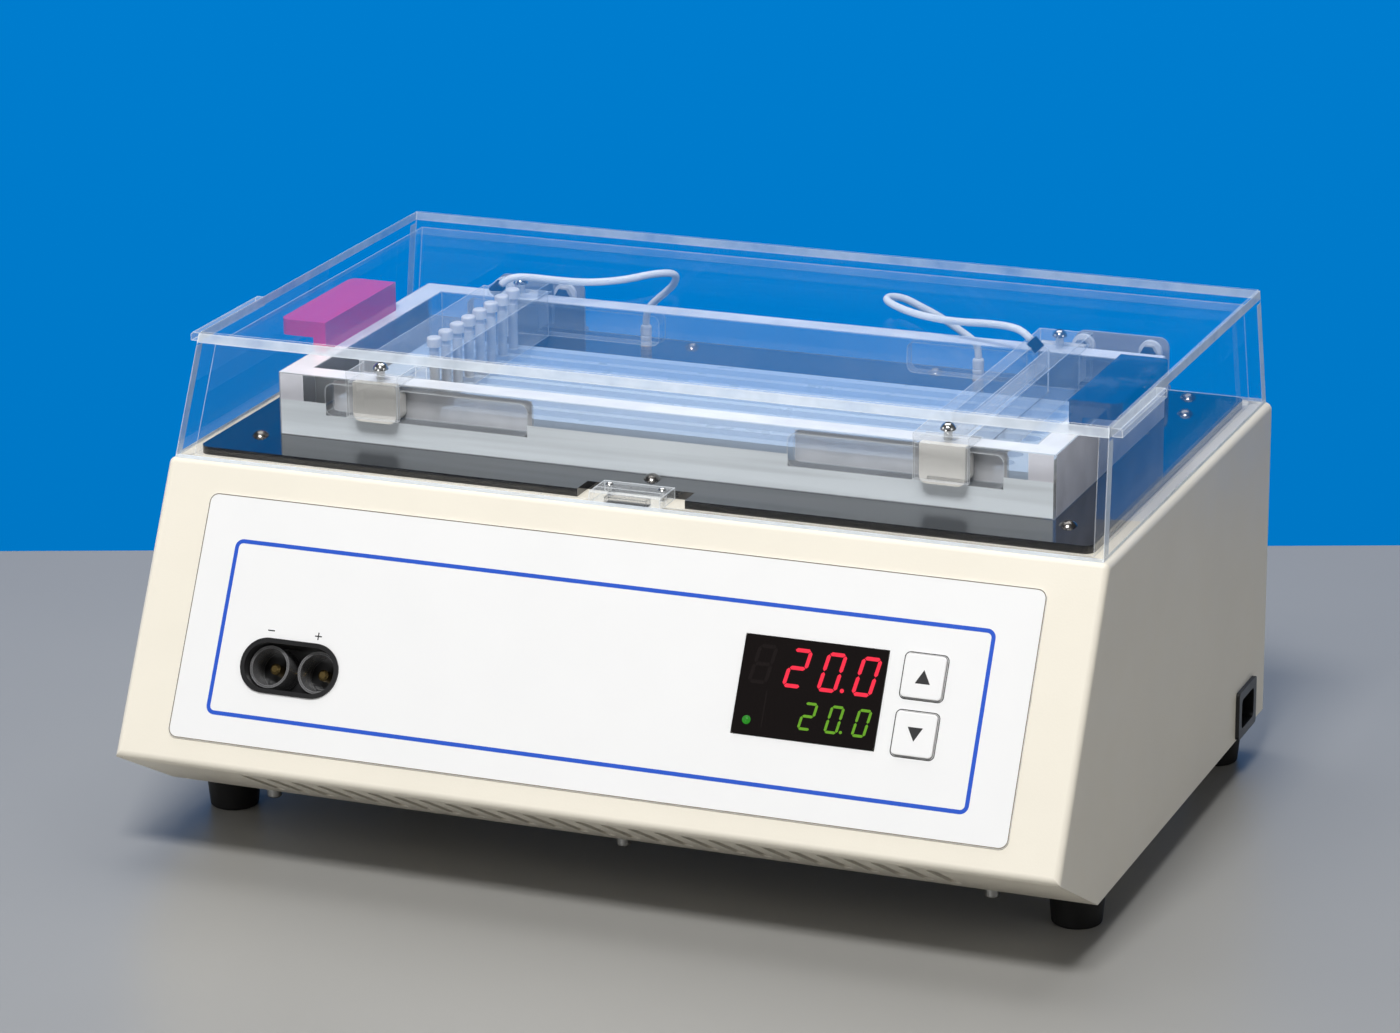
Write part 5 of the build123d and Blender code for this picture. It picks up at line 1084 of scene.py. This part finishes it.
@dataclass
class Chamber(Assembly):
    """Deck, tray, strip holder, handles and electrode bars. Its sizes are in mm."""

    nodes: ClassVar[dict[Look, str]] = {
        Look.DECK: "deck_plate",
        Look.DECK_SCREW: "deck_screws",
        Look.BRASS: "deck_sockets",
        Look.ACRYLIC: "tray",
        Look.BAR_ACRYLIC: "left_bar right_bar",
        Look.ROD: "post_rods",
        Look.STRIP: "strip_holder",
        Look.RED_HANDLE: "left_handle",
        Look.NAVY_HANDLE: "right_handle",
        Look.CREAM_SLIDER: "left_sliders right_sliders",
        Look.PLATINUM: "left_wire right_wire",
        Look.BLACK: "left_ferrule right_ferrule",
        Look.WHITE: "post_caps",
        Look.STEEL: "left_front_clamp left_rear_clamp right_front_clamp right_rear_clamp",
    }
    deck_thick: float = 3.0
    half_width: float = 149.0  # of the tray
    front: float = -48.0  # Y of its front
    back: float = 85.0
    height: float = 23.5
    wall: float = 10.0
    pocket_x: Pair = (50.0, 130.0)
    pocket_up: Pair = (9.0, 21.0)
    pocket_depth: float = 6.0
    pocket_inset: Pair = (0.6, 0.3)  # what a pocket's film leaves free at its ends and edges
    # the front's painted light is laid pale over the strip holder's shaded front edge, from floor_up to
    # holder_up
    floor_up: float = 8.9  # where the strip holder's edge starts to show
    holder_up: float = 13.4  # where it ends
    corner: float = 0.8  # what the films leave free at the tray's corners
    margin: float = 0.3  # what they leave free at its edges
    rim_margin: float = 0.4
    film: float = 0.04

    def add_pieces(self) -> None:
        """Lay the milky films of the tray's rim, ends and pockets, and the painted light on its front."""
        self.rim_film()
        self.end_films()
        self.front_film()
        self.pocket_films()

    def spot(self, x: float, y: float, up: float) -> Vector:
        """A point in metres from X, Y and height over the deck in mm."""
        return Vector((x, y, self.panel.top_z + self.deck_thick + up)) * MM

    def rim_film(self) -> None:
        """Lay the milky film of the tray's milled rim."""
        loops = []
        near, far = self.rim_margin, self.wall - self.rim_margin
        for inset, lift in ((near, 0.0), (near, self.film), (far, self.film), (far, 0.0)):
            half, low, high = self.half_width - inset, self.front + inset, self.back - inset
            corners = ((-half, low), (half, low), (half, high), (-half, high))
            loops.append([self.spot(x, y, self.height + lift) for x, y in corners])
        self.piece("tray_rim_film", [Solid(loops, ring=True)], Look.TRAY_RIM, "clear_acrylic")

    def end_films(self) -> None:
        """Lay the frosted film of the tray's sawn ends, outside and on the front of each end wall."""
        solids = []
        low, high = self.margin, self.height - self.margin
        near, far = self.front + self.corner, self.back - self.corner
        for side in (-1, 1):
            corners = ((near, low), (far, low), (far, high), (near, high))
            points = [self.spot(side * self.half_width, y, up) for y, up in corners]
            solids.append(Shapes.sheet(points, Vector((side * self.film, 0.0, 0.0)) * MM))
            inner, outer = side * (self.half_width - self.wall), side * (self.half_width - self.corner)
            solids.append(self.front_patch(inner, self.holder_up, outer, high))
        self.piece("tray_end_films", solids, Look.TRAY_END, "clear_acrylic")

    def front_patch(self, left: float, low: float, right: float, high: float, depth: float = 0.0) -> Solid:
        """Lay a film on part of the tray's front.

        Args:
            left: X of one end.
            low: Its lower edge over the deck.
            right: X of the other end.
            high: Its upper edge.
            depth: How far behind the front face it lies.

        Returns:
            The film.
        """
        corners = ((left, low), (right, low), (right, high), (left, high))
        points = [self.spot(x, self.front + depth, up) for x, up in corners]
        return Shapes.sheet(points, Vector((0.0, -self.film, 0.0)) * MM)

    def front_film(self) -> None:
        """Lay the banded film of painted light on the tray's front, as high as the strip holder shows
        through it: a painted refraction of the lit strips, laid pale over the holder's shaded front edge
        as well.
        """
        edge, (inner, outer) = self.half_width - self.corner, self.pocket_x
        solids = [
            self.front_patch(-edge, self.margin, edge, self.floor_up),
            self.front_patch(-inner, self.floor_up, inner, self.holder_up),
        ]
        for side in (-1, 1):
            solids.append(self.front_patch(side * outer, self.floor_up, side * edge, self.holder_up))
        self.piece("tray_front_painted_light", solids, Look.TRAY_FRONT_PAINTED_LIGHT, "clear_acrylic")

    def pocket_films(self) -> None:
        """Lay the matt film of the milled backs of the front wall's pockets."""
        solids = []
        (inner, outer), (low, high), (end, edge) = self.pocket_x, self.pocket_up, self.pocket_inset
        for side in (-1, 1):
            left, right = side * (inner + end), side * (outer - end)
            solids.append(self.front_patch(left, low + edge, right, high - edge, self.pocket_depth))
        self.piece("pocket_films", solids, Look.POCKET, "clear_acrylic")


@dataclass(frozen=True)
class Ferrule:
    """Where a lead leaves its bar, in mm."""

    foot: Point
    lean: int  # -1 or 1, the way it leans along X
    length: float = 4.6
    straight: float = 3.9  # how far the lead goes on straight

    def points(self) -> list[Vector]:
        """The ferrule's mouth and the end of the lead's straight run."""
        way = Vector((self.lean, 0.0, 1.0)).normalized()
        return [Vector(self.foot) + way * reach for reach in (self.length, self.length + self.straight)]


@dataclass(kw_only=True)
class Lead(Assembly):
    """A white lead from an electrode bar to its plug in the deck. Its sizes are in metres."""

    side: str
    body: Body  # the bar's body
    ferrule: Ferrule  # where it starts
    route: tuple[Point, ...]  # X, distance behind the front's top edge and height over the rim, in mm
    length: float
    follow: float = 0.070  # Y up to where it follows its bar
    stay: float = 0.108  # Y from where it stays with the deck
    diameter: float = 0.0028
    plug_profile: tuple[Pair, ...] = (
        (1.25, -16.5), (1.25, -8.0), (2.2, -8.0), (2.2, -6.6), (1.95, -6.4), (1.95, -6.0), (2.2, -5.8),
        (2.2, -4.6), (1.95, -4.4), (1.95, -4.0), (2.2, -3.8), (2.2, -0.8), (1.9, -0.2), (1.5, 0.0),
    )

    def add_pieces(self) -> None:
        """Lay the lead and stand its plug in the deck."""
        controls = self.ferrule.points()
        controls += [Vector((x, self.panel.top_y + y, self.panel.top_z + z)) for x, y, z in self.route]
        path = self.smooth([point * MM for point in controls])
        sweep = Shapes.tube(path, self.diameter / 2)
        tube = self.piece(f"{self.side}_lead_tube", [sweep], Look.LEAD, "white_plastic", None, smooth=True)
        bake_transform(tube)
        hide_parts(f"{self.side}_lead")
        plug = self.plug(controls[-1] * MM)

    def smooth(self, controls: Sequence[Vector]) -> list[Vector]:
        """Points along the route's smooth line.

        Args:
            controls: The route's points, in metres.

        Returns:
            Points along its spline.
        """
        curve = bpy.data.curves.new(f"{self.side}_lead_line", "CURVE")
        curve.dimensions = "3D"
        curve.resolution_u = 12
        spline = curve.splines.new("NURBS")
        spline.points.add(len(controls) - 1)
        for spot, control in zip(spline.points, controls):
            spot.co = (*control, 1.0)
        spline.order_u = 3
        spline.use_endpoint_u = True
        holder = bpy.data.objects.new(f"{self.side}_lead_line", curve)
        line = bpy.data.meshes.new_from_object(holder)
        path = [vertex.co.copy() for vertex in line.vertices]
        bpy.data.objects.remove(holder)
        bpy.data.meshes.remove(line)
        bpy.data.curves.remove(curve)
        return path

    def plug(self, top: Vector) -> bpy.types.Object:
        """Stand a plug in the deck under the lead's end.

        Args:
            top: The plug's top, in metres.

        Returns:
            The plug.
        """
        turned = Shapes.lathe(self.plug_profile, Matrix.Translation(top))
        made = self.piece(f"{self.side}_plug", [turned], Look.WHITE, "white_plastic")
        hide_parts("lead_plugs")
        return made


@dataclass
class Lid(Assembly):
    """Clear lid with its grips, magnet and hinges. Its sizes are in mm, heights over the rim."""

    nodes: ClassVar[dict[Look, str]] = {
        Look.LID: "lid",
        Look.BAR_ACRYLIC: "lid_grips magnet_block",
        Look.MAGNET: "lid_magnet",
        Look.STEEL: "magnet_screws hinge_pins lid_screws",
        Look.HINGE: "lid_leaves body_leaves",
    }
    half_width: float = 176.2
    side_lean: float = 0.08046
    front: float = -79.0
    front_lean: float = 0.35632
    back: float = 126.5
    height: float = 43.5
    wall: float = 5.0
    chamfer: float = 0.5
    film: float = 0.04
    band_height: float = 3.2
    foot_band: Pair = (0.05, 1.2)
    upright_foot: float = 1.3
    screw_spots: tuple[float, ...] = (-132.65, -106.35, 106.35, 132.65)
    washer_spot: Pair = (121.48, 155.0)  # Y and Z of the washers' outer faces
    washer_profile: tuple[Pair, ...] = ((4.3, 0.0), (4.5, 0.2), (4.5, 1.76), (4.3, 1.96))

    def corners(self, up: float, out: float) -> list[Vector]:
        """The lid's four corners at one height.

        Args:
            up: Height over the rim.
            out: How far outside its walls.

        Returns:
            Front left, front right, back right and back left, in metres.
        """
        half = self.half_width - self.side_lean * up + out
        front, back = self.front + self.front_lean * up - out, self.back + out
        spots = ((-half, front), (half, front), (half, back), (-half, back))
        return [Vector((x, y, self.panel.top_z + up)) * MM for x, y in spots]

    def band(self, name: str, low: float, high: float) -> None:
        """Lay a frosted band round the lid's walls.

        Args:
            name: The piece's name.
            low: Height of its lower edge.
            high: Height of its upper edge.
        """
        section = ((low, 0.0), (low, self.film), (high, self.film), (high, 0.0))
        solid = Solid([self.corners(up, out) for up, out in section], ring=True)
        self.piece(name, [solid], Look.LID_EDGE, "clear_acrylic", Body.LID)

    def upright_edges(self) -> None:
        """Lay frosted strips where the front and back sheets end on the lid's sides."""
        solids = []
        low, high = self.upright_foot, self.height - self.wall
        for side in (-1, 1):
            for start, lean, way in ((self.front, self.front_lean, 1), (self.back, 0.0, -1)):
                points = []
                for up, inward in ((low, 0.0), (low, self.wall), (high, self.wall), (high, 0.0)):
                    x, y = self.half_width - self.side_lean * up, start + lean * up + way * inward
                    points.append(Vector((side * x, y, self.panel.top_z + up)) * MM)
                solids.append(Shapes.sheet(points, Vector((side * self.film, 0.0, 0.0)) * MM))
        self.piece("lid_upright_edges", solids, Look.LID_EDGE, "clear_acrylic", Body.LID)

    def add_pieces(self) -> None:
        """Add the sheets' cut edges and the washers inside the back wall."""
        top = self.height - self.chamfer
        self.band("lid_top_edge", top - self.band_height, top)
        self.band("lid_bottom_edge", *self.foot_band)
        self.upright_edges()
        washers = []
        for x in self.screw_spots:
            place = Matrix.Translation(Vector((x, *self.washer_spot)) * MM)
            washers.append(Shapes.lathe(self.washer_profile, place @ Matrix.Rotation(math.pi / 2, 4, "X")))
        self.piece("screw_washers", washers, Look.WHITE, "white_plastic", Body.LID)


@dataclass(frozen=True)
class SoftBox:
    """A white area light, with its sizes in metres."""

    name: str
    spot: Point  # where it stands
    aim: Point  # what it points at
    size: Pair
    power: float  # in watts

    def build(self) -> None:
        """Put the light in the scene."""
        light = bpy.data.lights.new(self.name, "AREA")
        light.shape = "RECTANGLE"
        light.size, light.size_y = self.size
        light.energy = self.power
        holder = bpy.data.objects.new(self.name, light)
        holder.location = self.spot
        way = Vector(self.aim) - Vector(self.spot)
        holder.rotation_euler = way.to_track_quat("-Z", "Y").to_euler()
        bpy.context.scene.collection.objects.link(holder)
        LOG.info("light %s %.0f W", self.name, self.power)


@dataclass
class Studio:
    """Bench, blue backdrop, lights and camera, in metres and degrees."""

    boxes: tuple[SoftBox, ...] = (
        SoftBox("front_box", (0.15, -1.15, 1.9), (0.0, -0.1, 0.08), (0.6, 0.4), 35.0),
        SoftBox("top_box", (-0.2, 0.45, 1.6), (0.0, 0.0, 0.1), (1.5, 1.1), 14.0),
        SoftBox("left_box", (-2.1, -0.9, 0.9), (0.0, 0.0, 0.08), (0.9, 0.9), 7.0),
        SoftBox("right_box", (2.1, -0.7, 0.9), (0.1, 0.0, 0.1), (0.8, 0.9), 6.0),
        SoftBox("low_box", (-0.6, -2.4, 0.5), (0.0, -0.1, 0.1), (0.8, 0.5), 8.0),
    )
    bench_grey: Colour = (0.315, 0.31, 0.295)
    bench_reach: float = 3.0  # half its width, and how far it comes forward
    bench_back: float = 0.303  # its back edge behind the unit's middle
    bench_turn: float = 21.2193
    backdrop_back: float = 1.0
    backdrop_half: Pair = (2.0, 0.9)  # half its width and half its height
    backdrop_blues: tuple[Colour, Colour] = ((0.0, 0.145, 0.44), (0.0, 0.25, 0.76))  # foot, top
    bounce_grey: float = 0.17  # what the backdrop lights the unit with
    fill: Colour = (1.0, 0.98, 0.95)
    fill_strength: float = 0.08
    beyond_blue: Colour = (0.0, 0.19, 0.58)
    lens: float = 130.17  # in mm
    sensor: float = 36.0  # its width in mm
    clip: Pair = (0.05, 20.0)  # nearest and farthest that the camera sees
    spot: Point = (0.6500, -1.6461, 0.6769)  # where it stands
    tilt: float = 72.2752
    turn: float = 21.6193
    roll: float = -0.3607

    def build(self) -> None:
        """Set up the studio."""
        self.bench()
        self.backdrop()
        for box in self.boxes:
            box.build()
        self.world()
        self.camera()

    @staticmethod
    def sheet(name: str, corners: Sequence[Point], turn: float, material: bpy.types.Material) -> None:
        """Add a flat stage sheet.

        Args:
            name: Its name.
            corners: Its corners.
            turn: How far it is turned about Z.
            material: Its material.
        """
        turned = Matrix.Rotation(math.radians(turn), 3, "Z")
        data = bpy.data.meshes.new(name)
        points = [turned @ Vector(corner) for corner in corners]
        data.from_pydata(points, [], [tuple(range(len(points)))])
        made = bpy.data.objects.new(name, data)
        bpy.context.scene.collection.objects.link(made)
        made.data.materials.append(material)
        LOG.info("stage sheet %s", name)

    def bench(self) -> None:
        """Lay the grey bench top, with its back edge behind the unit."""
        shader = Shader("BenchTop", EffectLibrary(), self.bench_grey, roughness=0.38)
        shader.drive(
            Base_Color=shader.vary(self.bench_grey, darker=0.97, scale=6.0),
            Normal=shader.effect(Effect.GRAIN, Scale=900.0, Strength=0.1),
        )
        shader.one_sided()
        reach, back = self.bench_reach, self.bench_back
        corners = ((-reach, -reach, 0.0), (reach, -reach, 0.0), (reach, back, 0.0), (-reach, back, 0.0))
        self.sheet("bench_top", corners, self.bench_turn, shader.material)

    def backdrop(self) -> None:
        """Hang the blue backdrop behind the bench; it lights nothing with its own colour."""
        shader = Shader("BlueBackdrop", EffectLibrary(), (0.0, 0.0, 0.0), roughness=1.0)
        place = shader.node("TexCoord").outputs["Generated"]
        ramp = shader.node("ValToRGB", Fac=shader.node("SeparateXYZ", Vector=place).outputs["Z"])
        for element, blue in zip(ramp.color_ramp.elements, self.backdrop_blues):
            element.color = (*blue, 1.0)
        grey = (self.bounce_grey, self.bounce_grey, self.bounce_grey, 1.0)
        ray = shader.node("LightPath").outputs["Is Diffuse Ray"]
        shader.drive(
            Specular_IOR_Level=0.0,
            Emission_Strength=1.0,
            Emission_Color=shader.blend(ray, ramp.outputs["Color"], grey),
        )
        shader.one_sided()
        (half, rise), back = self.backdrop_half, self.backdrop_back
        corners = ((-half, back, -rise), (half, back, -rise), (half, back, rise), (-half, back, rise))
        self.sheet("backdrop", corners, self.turn, shader.material)

    def world(self) -> None:
        """Fill the shadows with even light, and show the backdrop's blue beyond it."""
        world = bpy.data.worlds.new("studio")
        world.use_nodes = True
        wiring = Wiring(world.node_tree)
        nodes = world.node_tree.nodes
        fill = wiring.fill(nodes["Background"], Color=(*self.fill, 1.0), Strength=self.fill_strength)
        seen = wiring.node("Background", Color=(*self.beyond_blue, 1.0))
        choose = wiring.node("MixShader", Fac=wiring.node("LightPath").outputs["Is Camera Ray"])
        for number, source in ((1, fill), (2, seen)):
            wiring.feed(source.outputs["Background"], choose.inputs[number])
        wiring.fill(nodes["World Output"], Surface=choose.outputs["Shader"])
        bpy.context.scene.world = world

    def camera(self) -> None:
        """Set the camera where the photograph was taken from."""
        data = bpy.data.cameras.new("camera")
        data.lens = self.lens
        data.sensor_width = self.sensor
        data.clip_start, data.clip_end = self.clip
        data.dof.use_dof = False
        holder = bpy.data.objects.new("camera", data)
        turn = Euler((math.radians(self.tilt), 0.0, math.radians(self.turn))).to_matrix()
        turn = turn @ Matrix.Rotation(math.radians(self.roll), 3, "Z")
        holder.rotation_euler = turn.to_euler()
        holder.location = self.spot
        bpy.context.scene.collection.objects.link(holder)
        bpy.context.scene.camera = holder


LEFT_ROUTE: tuple[Point, ...] = (
    (-103.4, 152.6, 36.5), (-93.4, 158.2, 34.6), (-81.0, 164.2, 33.1), (-68.8, 170.4, 33.8),
    (-58.4, 176.8, 35.9), (-52.2, 183.2, 34.9), (-54.6, 187.0, 29.2), (-60.8, 188.6, 23.8),
    (-66.0, 189.6, 19.0), (-68.0, 190.0, 15.0), (-68.0, 190.0, 11.0),
)
RIGHT_ROUTE: tuple[Point, ...] = (
    (94.4, 148.7, 36.7), (84.2, 152.6, 35.9), (72.6, 156.8, 34.2), (60.8, 161.2, 33.2),
    (49.6, 166.2, 33.1), (41.0, 170.0, 34.2), (36.2, 174.0, 35.0), (36.0, 179.2, 35.0),
    (40.4, 183.2, 33.8), (46.4, 184.8, 30.6), (54.0, 187.4, 26.2), (61.2, 189.2, 21.2),
    (66.4, 189.9, 17.6), (68.0, 190.0, 14.6), (68.0, 190.0, 11.0),
)


def main() -> None:
    """Dress the frame and set up the studio."""
    logging.basicConfig(level=logging.INFO, format="%(name)s %(message)s")
    for left_over in list(bpy.data.objects):
        bpy.data.objects.remove(left_over)
    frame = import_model()
    bpy.context.scene.view_settings.view_transform = "Standard"
    looks = LookLibrary()
    Studio().build()
    parts: list[Assembly] = [
        Housing(frame, looks),
        ControlPanel(frame, looks),
        Chamber(frame, looks),
        Lead(
            frame, looks, side="left", body=Body.LEFT_BAR, ferrule=Ferrule((-114.75, 70.0, 167.9), 1),
            route=LEFT_ROUTE, length=0.100,
        ),
        Lead(
            frame, looks, side="right", body=Body.RIGHT_BAR, ferrule=Ferrule((106.25, 66.0, 167.9), -1),
            route=RIGHT_ROUTE, length=0.1231,
        ),
        Lid(frame, looks),
    ]
    for part in parts:
        part.build()


if __name__ == "__main__":
    main()
